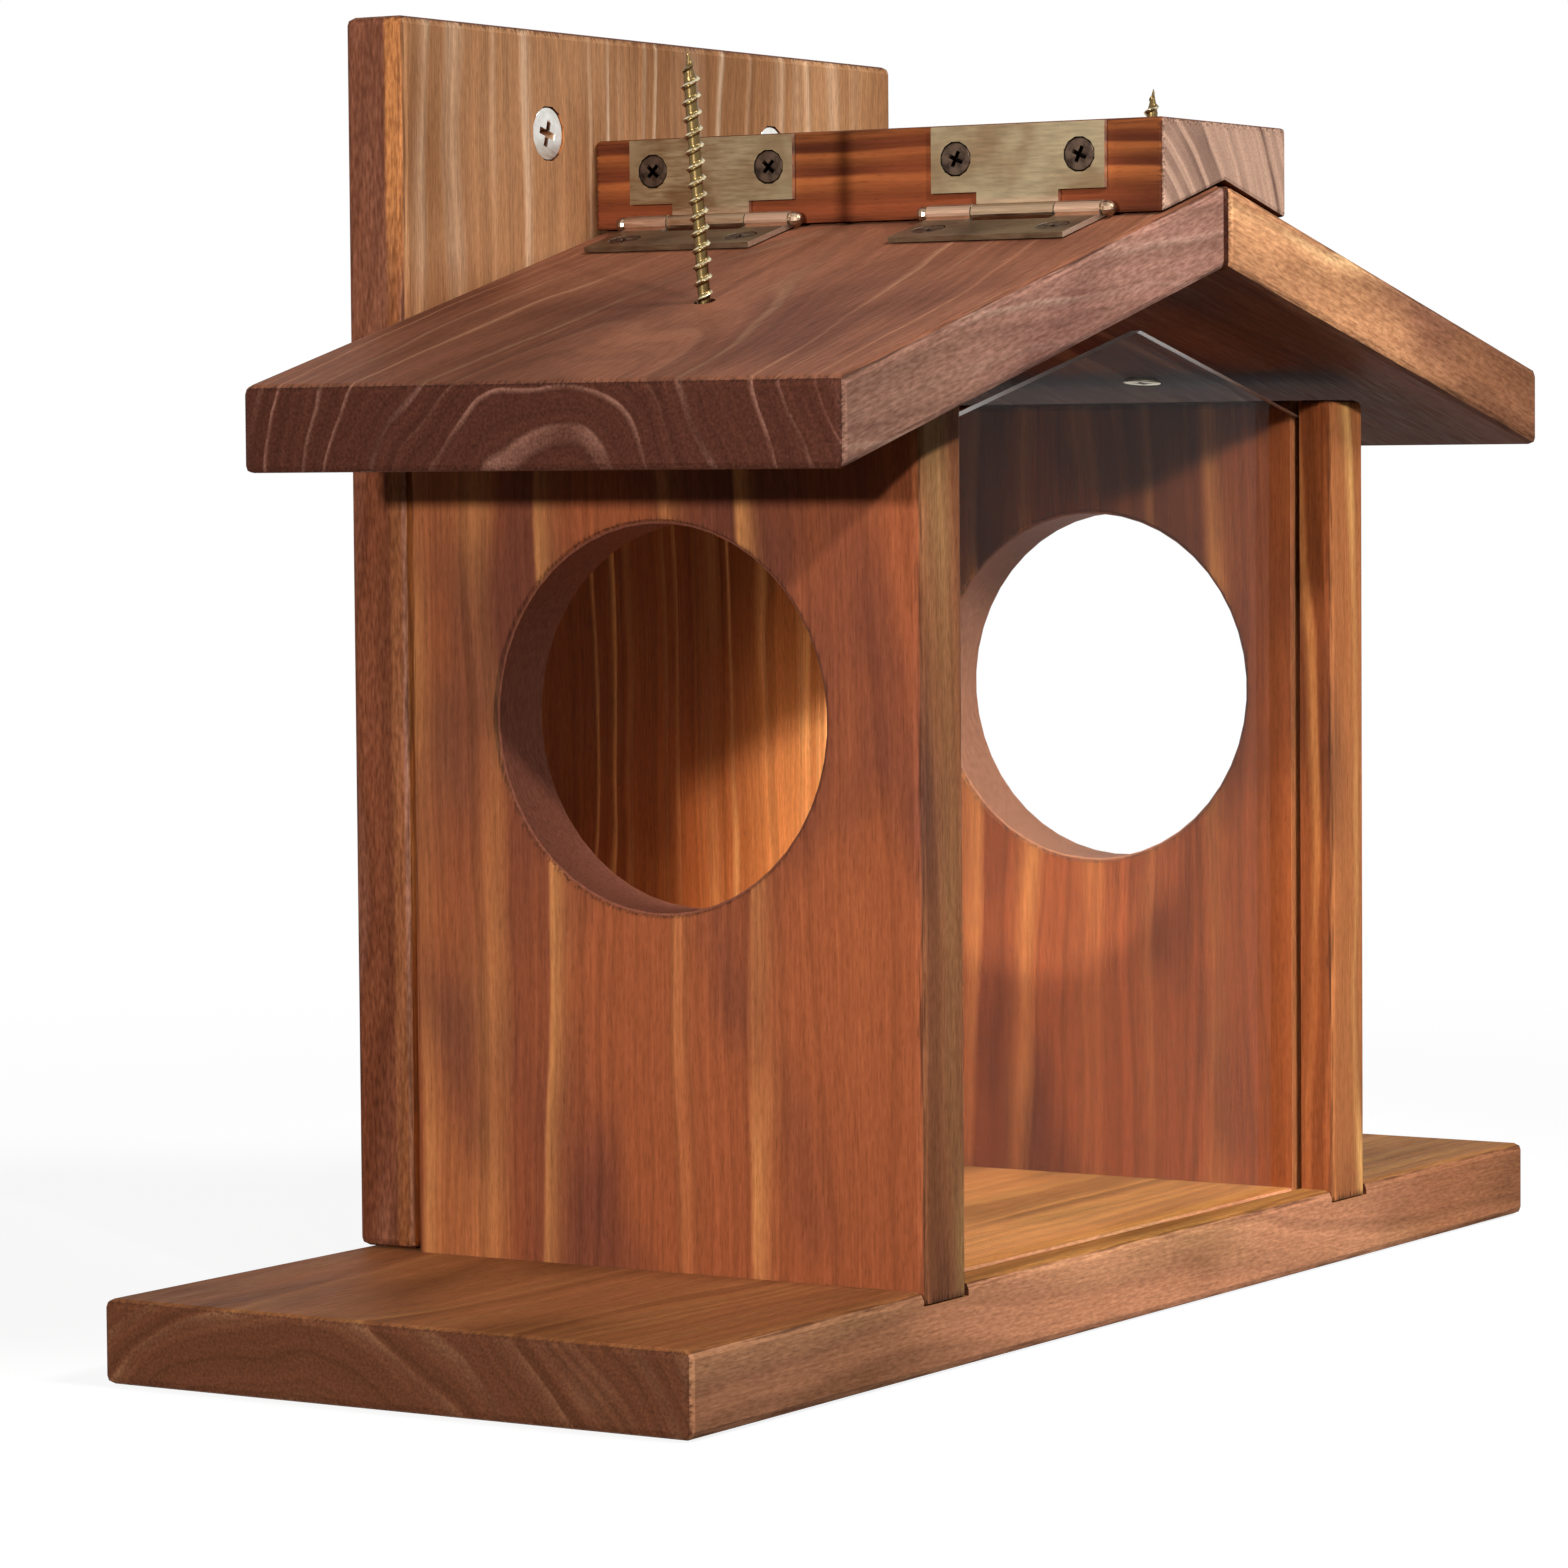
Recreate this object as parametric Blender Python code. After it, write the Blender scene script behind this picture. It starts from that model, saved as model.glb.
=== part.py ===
"""A wooden squirrel feeder: a small house on a long base board, with a round entrance in each side,
a clear front window, a hinged lid over the left half, and a screw on each roof slope for a corn cob.

Metres. X runs along the base board, Y from the front to the back, Z up.
The origin lies in the middle of the base board's underside.
"""
import math

import bmesh
import bpy
from mathutils import Matrix, Vector

# Fits
JOINT_GAP = 0.0003
LID_GAP = 0.0005
MITRE_GAP = 0.0010
PIN_CLEARANCE = 0.0001
SWING_CLEARANCE = 0.0006
CUT_OVERRUN = 0.0050
BOARD_EDGE_RADIUS = 0.0015
EDGE_STEPS = 2

# Base board, with a dado under each side panel
BASE_LENGTH = 0.3250
BASE_DEPTH = 0.1220
BASE_THICKNESS = 0.0150
DADO_DEPTH = 0.0025

# House walls
HOUSE_WIDTH = 0.1740
SIDE_THICKNESS = 0.0150
BACK_THICKNESS = 0.0130
BACK_RISE = 0.0203

# Round entrances, one in each side panel
ENTRANCE_DIAMETER = 0.06985
ENTRANCE_DROP = 0.0571
ENTRANCE_EASE = 0.0008
ENTRANCE_SIDES = 48

# Window, held in a groove round three of its edges
WINDOW_THICKNESS = 0.0020
WINDOW_SETBACK = 0.0071
WINDOW_DROP = 0.0094
SIDE_GROOVE_DEPTH = 0.0045
BASE_GROOVE_DEPTH = 0.0028

# Roof: a fixed panel on the right and a lid on the left, both cut plumb at ridge and eave
ROOF_THICKNESS = 0.0150
ROOF_HALF_WIDTH = 0.1370
RIDGE_HEIGHT = 0.2105
ROOF_PITCH = math.radians(13.5)
LID_PITCH = math.radians(15.0)
FRONT_OVERHANG = 0.0150

# Ridge block
BLOCK_WIDTH = 0.0490
BLOCK_RISE = 0.0112
BLOCK_SETBACK = 0.0005

# Butt hinges
HINGE_LENGTH = 0.0365
LEAF_WIDTH = 0.0160
LEAF_THICKNESS = 0.0010
LEAF_NOTCH = 0.0038
KNUCKLE_RADIUS = 0.0016
KNUCKLE_SIDES = 16
MIDDLE_KNUCKLE_LENGTH = 0.0172
PIN_RADIUS = 0.0007
PIN_BALL_RADIUS = 0.0015
BALL_SEAT_SHARE = 0.5
BALL_STEPS = 5
FRONT_HINGE_INSET = 0.0295
REAR_HINGE_INSET = 0.0270
LEAF_SCREW_SPACING = 0.0260
LEAF_SCREW_REACH = 0.0100

# Screws
SCREW_SIDES = 12
SCREW_POINT_SHARE = 0.2
HINGE_SCREW_HEAD = 0.0060
HINGE_SCREW_SHANK = 0.0026
HINGE_SCREW_LENGTH = 0.0120
HEAD_RIM = 0.0003
BOARD_SCREW_HEAD = 0.0070
BOARD_SCREW_SHANK = 0.0034
BOARD_SCREW_LENGTH = 0.0350
BLOCK_SCREW_LENGTH = 0.0250

# A thread's section: the share of its full height at each step round the screw
THREAD_SIDES = 8
THREAD_SHARES = {0: 1.0, 1: 0.35, 7: 0.35}
TIP_POINT_SHARE = 0.2

# Corn cob screws, point up, one through each roof slope
COB_SCREW_HEAD = 0.0076
COB_SCREW_THREAD = 0.0036
COB_SCREW_CORE = 0.0022
COB_SCREW_PITCH = 0.0029
COB_SCREW_LENGTH = 0.0600
COB_SCREW_TIP = 0.0050
COB_SCREW_SPREAD = 0.0805
COB_SCREW_SETBACK = 0.0470
COB_SCREW_LEAN = math.radians(6.0)
COB_SCREW_SINK = 0.0004

# Wall screws through the top of the back board
WALL_SCREW_HEAD = 0.0100
WALL_SCREW_THREAD = 0.0045
WALL_SCREW_CORE = 0.0030
WALL_SCREW_PITCH = 0.0028
WALL_SCREW_LENGTH = 0.0400
WALL_SCREW_TIP = 0.0045
WALL_SCREW_SPREAD = 0.0398
WALL_SCREW_DROP = 0.0195
WALL_SCREW_SINK = 0.0003

# Places of the assembly screws
SIDE_SCREW_FRONT_INSET = 0.0300
SIDE_SCREW_REAR_INSET = 0.0250
BACK_SCREW_LOW_SHARE = 0.19
BACK_SCREW_HIGH_SHARE = 0.83
FOOT_SCREW_SPREAD = 0.0400
ROOF_SCREW_INNER_REACH = 0.0350
ROOF_SCREW_OUTER_REACH = 0.0740
BLOCK_SCREW_SPREAD = 0.0080
RIDGE_SCREW_REACH = 0.0120
RIDGE_SCREW_FRONT_INSET = 0.0350
RIDGE_SCREW_REAR_INSET = 0.0300

# What follows from the sizes above
front_y = -BASE_DEPTH / 2
rear_y = BASE_DEPTH / 2
back_front_y = rear_y - BACK_THICKNESS
side_outer = HOUSE_WIDTH / 2
side_inner = side_outer - SIDE_THICKNESS
roof_front_y = front_y - FRONT_OVERHANG
entrance_y = (front_y + back_front_y) / 2
groove_front_y = front_y + WINDOW_SETBACK - JOINT_GAP
groove_rear_y = front_y + WINDOW_SETBACK + WINDOW_THICKNESS + JOINT_GAP
block_front_y = roof_front_y + BLOCK_SETBACK
block_rear_y = back_front_y - JOINT_GAP
block_top = RIDGE_HEIGHT + BLOCK_RISE
back_top = block_top + BACK_RISE
hinge_offset = KNUCKLE_RADIUS + JOINT_GAP
axis_x = -BLOCK_WIDTH / 2 - hinge_offset
axis_z = RIDGE_HEIGHT + axis_x * math.tan(LID_PITCH) + hinge_offset / math.cos(LID_PITCH)
hinge_places = {"front": block_front_y + FRONT_HINGE_INSET, "rear": block_rear_y - REAR_HINGE_INSET}

# Directions
UP = Vector((0, 0, 1))
DOWN = Vector((0, 0, -1))
FORWARD = Vector((0, -1, 0))
BACKWARD = Vector((0, 1, 0))
LEFT = Vector((-1, 0, 0))
RIGHT = Vector((1, 0, 0))
LID_NORMAL = Vector((-math.sin(LID_PITCH), 0, math.cos(LID_PITCH)))


def roof_top(x):
    """Height of the roof's upper surface: the lid's on the left, the fixed panel's on the right."""
    return RIDGE_HEIGHT - abs(x) * math.tan(LID_PITCH if x < 0 else ROOF_PITCH)


def roof_underside(x):
    """Height of the roof's lower surface."""
    return roof_top(x) - ROOF_THICKNESS / math.cos(LID_PITCH if x < 0 else ROOF_PITCH)


# The closed lid rests on the left side panel, and both side panels are the same height.
side_top = roof_underside(-side_outer) - JOINT_GAP
entrance_z = side_top - ENTRANCE_DROP


def make_material(name, colour, roughness, metallic=0.0):
    """A plain finish that shows which stuff a piece is made of."""
    made = bpy.data.materials.new(name)
    made.use_nodes = True
    shader = made.node_tree.nodes["Principled BSDF"]
    shader.inputs["Base Color"].default_value = (*colour, 1.0)
    shader.inputs["Roughness"].default_value = roughness
    shader.inputs["Metallic"].default_value = metallic
    return made


def stained_wood(name, colour):
    """Stained softwood under a thin lacquer."""
    return make_material(name + "_wood", colour, 0.5)


def bronzed_steel(name):
    """Pressed steel with a brown bronze plating."""
    return make_material(name + "_bronze", (0.33, 0.24, 0.15), 0.35, 1.0)


def dark_steel(name):
    """Blackened steel of the small screws."""
    return make_material(name + "_dark_steel", (0.08, 0.06, 0.05), 0.45, 1.0)


def zinc_steel(name, colour=(0.62, 0.60, 0.56)):
    """Zinc-plated steel, clear or yellow."""
    return make_material(name + "_zinc", colour, 0.3, 1.0)


def add_object(name, mesh_data, material=None, location=(0, 0, 0)):
    """Puts a mesh into the scene under its piece's name."""
    piece = bpy.data.objects.new(name, mesh_data)
    piece.location = location
    if material:
        piece.data.materials.append(material)
    bpy.context.scene.collection.objects.link(piece)
    return piece


def finish_mesh(shape, name):
    """Turns a bmesh into a mesh with its faces pointing out."""
    bmesh.ops.recalc_face_normals(shape, faces=shape.faces)
    made = bpy.data.meshes.new(name)
    shape.to_mesh(made)
    shape.free()
    return made


def box_mesh(name, low, high):
    """A box between two corners."""
    shape = bmesh.new()
    bmesh.ops.create_cube(shape, size=1.0)
    size = Vector(high) - Vector(low)
    middle = (Vector(high) + Vector(low)) / 2
    for corner in shape.verts:
        corner.co = Vector(c * s for c, s in zip(corner.co, size)) + middle
    return finish_mesh(shape, name)


def prism_mesh(name, outline, start_y, end_y):
    """An outline in X and Z, run along Y."""
    shape = bmesh.new()
    face = shape.faces.new([shape.verts.new((x, start_y, z)) for x, z in outline])
    run = bmesh.ops.extrude_face_region(shape, geom=[face])
    for part in run["geom"]:
        if isinstance(part, bmesh.types.BMVert):
            part.co.y = end_y
    return finish_mesh(shape, name)


def add_ring(shape, radii, height):
    """A ring of corners about Z, one for each radius."""
    turns = [math.tau * (k + 0.5) / len(radii) for k in range(len(radii))]
    return [shape.verts.new((r * math.cos(t), r * math.sin(t), height)) for r, t in zip(radii, turns)]


def add_profile(shape, profile, sides):
    """Rings for a profile of radius and height. A radius of zero gives one corner on the axis."""
    rings = []
    for radius, height in profile:
        rings.append(add_ring(shape, [radius] * (sides if radius else 1), height))
    return rings


def skin_rings(shape, rings, sides):
    """Faces between each ring and the next."""
    for upper, lower in zip(rings, rings[1:]):
        for k in range(sides):
            after = (k + 1) % sides
            corners = [upper[k % len(upper)], upper[after % len(upper)]]
            corners += [lower[after % len(lower)], lower[k % len(lower)]]
            shape.faces.new(list(dict.fromkeys(corners)))


def turned_mesh(name, profile, sides):
    """A profile turned about Z. Its two ends lie on the axis."""
    shape = bmesh.new()
    skin_rings(shape, add_profile(shape, profile, sides), sides)
    return finish_mesh(shape, name)


def threaded_mesh(name, profile, thread_start, length, tip, radii, pitch):
    """A turned head and shank, then a thread that winds down from thread_start and dies out at the tip."""
    core, crest = radii
    shape = bmesh.new()
    rings = add_profile(shape, profile, THREAD_SIDES)
    rows = int((length - thread_start - tip * TIP_POINT_SHARE) / pitch * THREAD_SIDES)
    for row in range(rows + 1):
        depth = thread_start + row * pitch / THREAD_SIDES
        fade = min(1.0, (length - depth) / tip)
        ring_radii = []
        for k in range(THREAD_SIDES):
            share = THREAD_SHARES.get((row + k) % THREAD_SIDES, 0.0)
            ring_radii.append((core + (crest - core) * share) * fade)
        rings.append(add_ring(shape, ring_radii, -depth))
    rings.append(add_ring(shape, [0.0], -length))
    skin_rings(shape, rings, THREAD_SIDES)
    return finish_mesh(shape, name)


def ease_edges(piece, radius=BOARD_EDGE_RADIUS):
    """Rounds a board's edges as sanding does."""
    rounding = piece.modifiers.new("eased edges", "BEVEL")
    rounding.width = radius
    rounding.segments = EDGE_STEPS
    rounding.limit_method = "ANGLE"


def make_cutter(name, mesh_data):
    """A shape that only cuts others."""
    cutter = add_object(name, mesh_data)
    cutter.display_type = "WIRE"
    cutter.hide_render = True
    return cutter


def cut(piece, cutter):
    """Takes a cutter's shape out of a piece."""
    removal = piece.modifiers.new("cut by " + cutter.name, "BOOLEAN")
    removal.operation = "DIFFERENCE"
    removal.object = cutter


def cut_box(piece, name, low, high):
    """Takes a box out of a piece."""
    cut(piece, make_cutter(name, box_mesh(name, low, high)))


def aim(place, direction):
    """A placing that puts a screw's head at a place and points its head's face along a direction."""
    turn = direction.to_track_quat("Z", "Y").to_matrix().to_4x4()
    return Matrix.Translation(place) @ turn


def shade_round(piece):
    """Smooth shading that keeps the sharp edges."""
    piece.data.shade_smooth()
    piece.data.set_sharp_from_angle(angle=math.radians(35))


def screw_profile(head, shank, length, extra=0.0):
    """A countersunk screw's profile from the head's face at height zero; extra widens it into a hole."""
    cone = (head - shank) / 2
    point = length * SCREW_POINT_SHARE
    top = CUT_OVERRUN if extra else 0.0
    head_radius, shank_radius = head / 2 + extra, shank / 2 + extra
    return [
        (0, top),
        (head_radius, top),
        (head_radius, -HEAD_RIM - extra),
        (shank_radius, -HEAD_RIM - cone - extra),
        (shank_radius, -length + point),
        (0, -length - extra),
    ]


def make_hole(name, placing, head, shank, length):
    """The cutter for a screw's hole, which leaves a small gap all round the screw."""
    profile = screw_profile(head, shank, length, JOINT_GAP)
    hole = make_cutter(name + "_hole", turned_mesh(name + "_hole", profile, SCREW_SIDES))
    hole.matrix_world = placing
    return hole


def make_screw(name, place, direction, head, shank, length, material):
    """A plain countersunk screw and the cutter for its hole."""
    placing = aim(place, direction)
    screw = add_object(name, turned_mesh(name, screw_profile(head, shank, length), SCREW_SIDES), material)
    screw.matrix_world = placing
    shade_round(screw)
    return screw, make_hole(name, placing, head, shank, length)


def make_long_screw(name, place, direction, head, thread, core, pitch, length, plain, tip, material):
    """A countersunk screw with a thread that shows, and the cutter for its hole."""
    cone = (head - core) / 2
    profile = [(0, 0), (head / 2, 0), (head / 2, -HEAD_RIM), (core / 2, -HEAD_RIM - cone)]
    placing = aim(place, direction)
    shaft = threaded_mesh(name, profile, plain, length, tip, (core / 2, thread / 2), pitch)
    screw = add_object(name, shaft, material)
    screw.matrix_world = placing
    shade_round(screw)
    return screw, make_hole(name, placing, head, thread, length)


def make_base_board():
    """The long board that everything stands on, with its two dadoes and the window's groove."""
    low = (-BASE_LENGTH / 2, front_y, 0)
    high = (BASE_LENGTH / 2, rear_y, BASE_THICKNESS)
    wood = stained_wood("base_board", (0.30, 0.12, 0.055))
    board = add_object("base_board", box_mesh("base_board", low, high), wood)
    ease_edges(board)
    for name, side in (("left", -1), ("right", 1)):
        edges = sorted((side * (side_inner - JOINT_GAP), side * (side_outer + JOINT_GAP)))
        dado_low = (edges[0], front_y - CUT_OVERRUN, BASE_THICKNESS - DADO_DEPTH)
        dado_high = (edges[1], back_front_y, BASE_THICKNESS + CUT_OVERRUN)
        cut_box(board, name + "_dado", dado_low, dado_high)
    groove_low = (-side_inner, groove_front_y, BASE_THICKNESS - BASE_GROOVE_DEPTH)
    groove_high = (side_inner, groove_rear_y, BASE_THICKNESS + CUT_OVERRUN)
    cut_box(board, "base_window_groove", groove_low, groove_high)
    return board


def make_back_board():
    """The upright board behind the house, which the feeder hangs by."""
    low = (-side_outer, back_front_y, BASE_THICKNESS + JOINT_GAP)
    high = (side_outer, rear_y, back_top)
    wood = stained_wood("back_board", (0.37, 0.19, 0.10))
    board = add_object("back_board", box_mesh("back_board", low, high), wood)
    ease_edges(board)
    return board


def make_side_panel(name, side):
    """A side wall with its round entrance and the window's groove."""
    edges = sorted((side * side_inner, side * side_outer))
    foot = BASE_THICKNESS - DADO_DEPTH + JOINT_GAP
    low = (edges[0], front_y, foot - CUT_OVERRUN)
    high = (edges[1], back_front_y - JOINT_GAP, side_top)
    panel = add_object(name, box_mesh(name, low, high), stained_wood(name, (0.29, 0.10, 0.04)))
    ease_edges(panel)
    foot_low = (edges[0] - CUT_OVERRUN, front_y - CUT_OVERRUN, low[2] - CUT_OVERRUN)
    cut_box(panel, name + "_foot", foot_low, (edges[1] + CUT_OVERRUN, rear_y, foot))
    groove = sorted((side * (side_inner - CUT_OVERRUN), side * (side_inner + SIDE_GROOVE_DEPTH)))
    groove_low = (groove[0], groove_front_y, low[2] - CUT_OVERRUN)
    cut_box(panel, name + "_groove", groove_low, (groove[1], groove_rear_y, high[2] + CUT_OVERRUN))
    radius = ENTRANCE_DIAMETER / 2
    flare = ENTRANCE_EASE + CUT_OVERRUN
    half = SIDE_THICKNESS / 2
    profile = [
        (0, half + CUT_OVERRUN),
        (radius + flare, half + CUT_OVERRUN),
        (radius, half - ENTRANCE_EASE),
        (radius, -half + ENTRANCE_EASE),
        (radius + flare, -half - CUT_OVERRUN),
        (0, -half - CUT_OVERRUN),
    ]
    entrance = make_cutter(name + "_entrance", turned_mesh(name + "_entrance", profile, ENTRANCE_SIDES))
    entrance.matrix_world = aim((side * (side_inner + side_outer) / 2, entrance_y, entrance_z), RIGHT)
    shade_round(entrance)
    cut(panel, entrance)
    return panel


def window_outline():
    """The window's outline: its right slope follows the roof, its left slope clears the lid's inner edge."""
    slope = math.tan(ROOF_PITCH)
    reach = side_inner + SIDE_GROOVE_DEPTH - JOINT_GAP
    bottom = BASE_THICKNESS - BASE_GROOVE_DEPTH + JOINT_GAP
    right_start = roof_underside(0) - WINDOW_DROP
    inner_x = -MITRE_GAP / 2
    swing = math.hypot(inner_x - axis_x, axis_z - roof_underside(inner_x)) + SWING_CLEARANCE
    left_start = axis_z - axis_x * slope - swing / math.cos(ROOF_PITCH)
    peak_x = (right_start - left_start) / (2 * slope)
    peak_z = right_start - peak_x * slope
    return [
        (-reach, bottom),
        (reach, bottom),
        (reach, right_start - reach * slope),
        (peak_x, peak_z),
        (-reach, left_start - reach * slope),
    ]


def make_window():
    """The clear sheet in front."""
    glazing = make_material("front_window_acrylic", (0.85, 0.88, 0.88), 0.05)
    start = front_y + WINDOW_SETBACK
    sheet = prism_mesh("front_window", window_outline(), start, start + WINDOW_THICKNESS)
    return add_object("front_window", sheet, glazing)


def roof_outline(inner, outer):
    """One roof half's cross-section, cut plumb at its inner and outer end."""
    upper = [(inner, roof_top(inner)), (outer, roof_top(outer))]
    return [*upper, (outer, roof_underside(outer)), (inner, roof_underside(inner))]


def make_roof_panel():
    """The fixed right half of the roof."""
    outline = roof_outline(MITRE_GAP / 2, ROOF_HALF_WIDTH)
    mesh_data = prism_mesh("roof_panel", outline, roof_front_y, back_front_y - JOINT_GAP)
    panel = add_object("roof_panel", mesh_data, stained_wood("roof_panel", (0.26, 0.11, 0.06)))
    ease_edges(panel)
    return panel


def make_lid(pivot):
    """The left half of the roof, which lifts. Its origin lies on the hinge axis."""
    outline = [(x - pivot.x, z - pivot.z) for x, z in roof_outline(-MITRE_GAP / 2, -ROOF_HALF_WIDTH)]
    mesh_data = prism_mesh("lid", outline, roof_front_y, back_front_y - LID_GAP)
    lid = add_object("lid", mesh_data, stained_wood("lid", (0.20, 0.08, 0.05)), pivot)
    ease_edges(lid)
    return lid


def make_ridge_block():
    """The beam over the ridge, notched to sit astride it, which the lid hangs from."""
    half = BLOCK_WIDTH / 2
    outline = [
        (-half, block_top),
        (-half, roof_top(-half) + LID_GAP),
        (0, RIDGE_HEIGHT + LID_GAP),
        (half, roof_top(half) + JOINT_GAP),
        (half, block_top),
    ]
    mesh_data = prism_mesh("ridge_block", outline, block_front_y, block_rear_y)
    block = add_object("ridge_block", mesh_data, stained_wood("ridge_block", (0.33, 0.10, 0.035)))
    ease_edges(block, BOARD_EDGE_RADIUS / 2)
    return block


def leaf_outline():
    """A leaf's cross-section: the plate up from the pin, and the knuckle rolled round it."""
    inner_face = KNUCKLE_RADIUS - LEAF_THICKNESS
    start = math.acos(inner_face / KNUCKLE_RADIUS)
    turns = [start + (math.tau - start) * k / KNUCKLE_SIDES for k in range(KNUCKLE_SIDES + 1)]
    points = [(KNUCKLE_RADIUS * math.cos(t), KNUCKLE_RADIUS * math.sin(t)) for t in turns]
    return [(inner_face, LEAF_WIDTH), *points, (KNUCKLE_RADIUS, LEAF_WIDTH)]


def make_leaf(name, middle_knuckle):
    """A hinge leaf standing up from its pin along Z, its seat towards +X."""
    half = HINGE_LENGTH / 2
    leaf = add_object(name, prism_mesh(name, leaf_outline(), -half, half), bronzed_steel(name))
    shade_round(leaf)
    middle = MIDDLE_KNUCKLE_LENGTH / 2
    reach = KNUCKLE_RADIUS + CUT_OVERRUN
    if middle_knuckle:
        spans = [(-half - CUT_OVERRUN, -middle), (middle, half + CUT_OVERRUN)]
    else:
        spans = [(-middle - JOINT_GAP, middle + JOINT_GAP)]
    cutters = []
    for index, (start, end) in enumerate(spans):
        notch_name = name + "_notch_" + str(index + 1)
        notch = box_mesh(notch_name, (-reach, start, -reach), (reach, end, LEAF_NOTCH))
        cutters.append(make_cutter(notch_name, notch))
    bore_radius = PIN_RADIUS + PIN_CLEARANCE
    ends = half + CUT_OVERRUN
    bore_profile = [(0, ends), (bore_radius, ends), (bore_radius, -ends), (0, -ends)]
    bore = make_cutter(name + "_bore", turned_mesh(name + "_bore", bore_profile, KNUCKLE_SIDES))
    bore.rotation_euler.x = math.pi / 2
    for cutter in [*cutters, bore]:
        cutter.parent = leaf
        cut(leaf, cutter)
    return leaf


def make_pin(name, place):
    """A hinge pin with a ball at each end."""
    half = HINGE_LENGTH / 2 + JOINT_GAP
    last = math.acos(-BALL_SEAT_SHARE)
    turns = [last * k / BALL_STEPS for k in range(BALL_STEPS + 1)]
    ball = PIN_BALL_RADIUS
    front_end = [(ball * math.sin(t), half + ball * (BALL_SEAT_SHARE + math.cos(t))) for t in turns]
    front_end.append((PIN_RADIUS, half))
    rear_end = [(radius, -height) for radius, height in reversed(front_end)]
    shaft = turned_mesh(name, [*front_end, *rear_end], SCREW_SIDES)
    pin = add_object(name, shaft, bronzed_steel(name), place)
    pin.rotation_euler.x = math.pi / 2
    shade_round(pin)
    return pin


def fix_side_panels(base, back, panels):
    """Screws up through the base board and forward through the back board into the side panels."""
    steel = zinc_steel("board_screw")
    centre = (side_inner + side_outer) / 2
    inset_places = {"front": front_y + SIDE_SCREW_FRONT_INSET, "rear": back_front_y - SIDE_SCREW_REAR_INSET}
    wall_height = side_top - BASE_THICKNESS
    heights = {"low": BACK_SCREW_LOW_SHARE * wall_height, "high": BACK_SCREW_HIGH_SHARE * wall_height}
    sizes = (BOARD_SCREW_HEAD, BOARD_SCREW_SHANK, BOARD_SCREW_LENGTH, steel)
    for name, side in (("left", -1), ("right", 1)):
        for place_name, y in inset_places.items():
            place = (side * centre, y, 0)
            hole = make_screw(name + "_base_screw_" + place_name, place, DOWN, *sizes)[1]
            cut(base, hole)
            cut(panels[name], hole)
        for place_name, z in heights.items():
            place = (side * centre, rear_y, BASE_THICKNESS + z)
            hole = make_screw(name + "_back_screw_" + place_name, place, BACKWARD, *sizes)[1]
            cut(back, hole)
            cut(panels[name], hole)


def fix_back_board(base, back, roof, block):
    """Screws that tie the back board to the base board, the fixed roof panel and the ridge block."""
    steel = zinc_steel("back_board_screw")
    sizes = (BOARD_SCREW_HEAD, BOARD_SCREW_SHANK, BOARD_SCREW_LENGTH, steel)
    board_middle_y = (back_front_y + rear_y) / 2
    block_middle_z = (block_top + RIDGE_HEIGHT) / 2
    for name, side in (("left", -1), ("right", 1)):
        place = (side * FOOT_SCREW_SPREAD, board_middle_y, 0)
        hole = make_screw(name + "_foot_screw", place, DOWN, *sizes)[1]
        cut(base, hole)
        cut(back, hole)
        place = (side * BLOCK_SCREW_SPREAD, rear_y, block_middle_z)
        hole = make_screw(name + "_block_screw", place, BACKWARD, *sizes)[1]
        cut(back, hole)
        cut(block, hole)
    for name, x in (("inner", ROOF_SCREW_INNER_REACH), ("outer", ROOF_SCREW_OUTER_REACH)):
        middle_z = (roof_top(x) + roof_underside(x)) / 2
        hole = make_screw("roof_screw_" + name, (x, rear_y, middle_z), BACKWARD, *sizes)[1]
        cut(back, hole)
        cut(roof, hole)


def fix_ridge_block(roof, block):
    """Screws up through the fixed roof panel into the ridge block."""
    steel = zinc_steel("ridge_screw")
    places = {"front": block_front_y + RIDGE_SCREW_FRONT_INSET, "rear": block_rear_y - RIDGE_SCREW_REAR_INSET}
    for name, y in places.items():
        place = (RIDGE_SCREW_REACH, y, roof_underside(RIDGE_SCREW_REACH))
        sizes = (BOARD_SCREW_HEAD, BOARD_SCREW_SHANK, BLOCK_SCREW_LENGTH, steel)
        hole = make_screw("ridge_screw_" + name, place, DOWN, *sizes)[1]
        cut(roof, hole)
        cut(block, hole)


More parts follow.
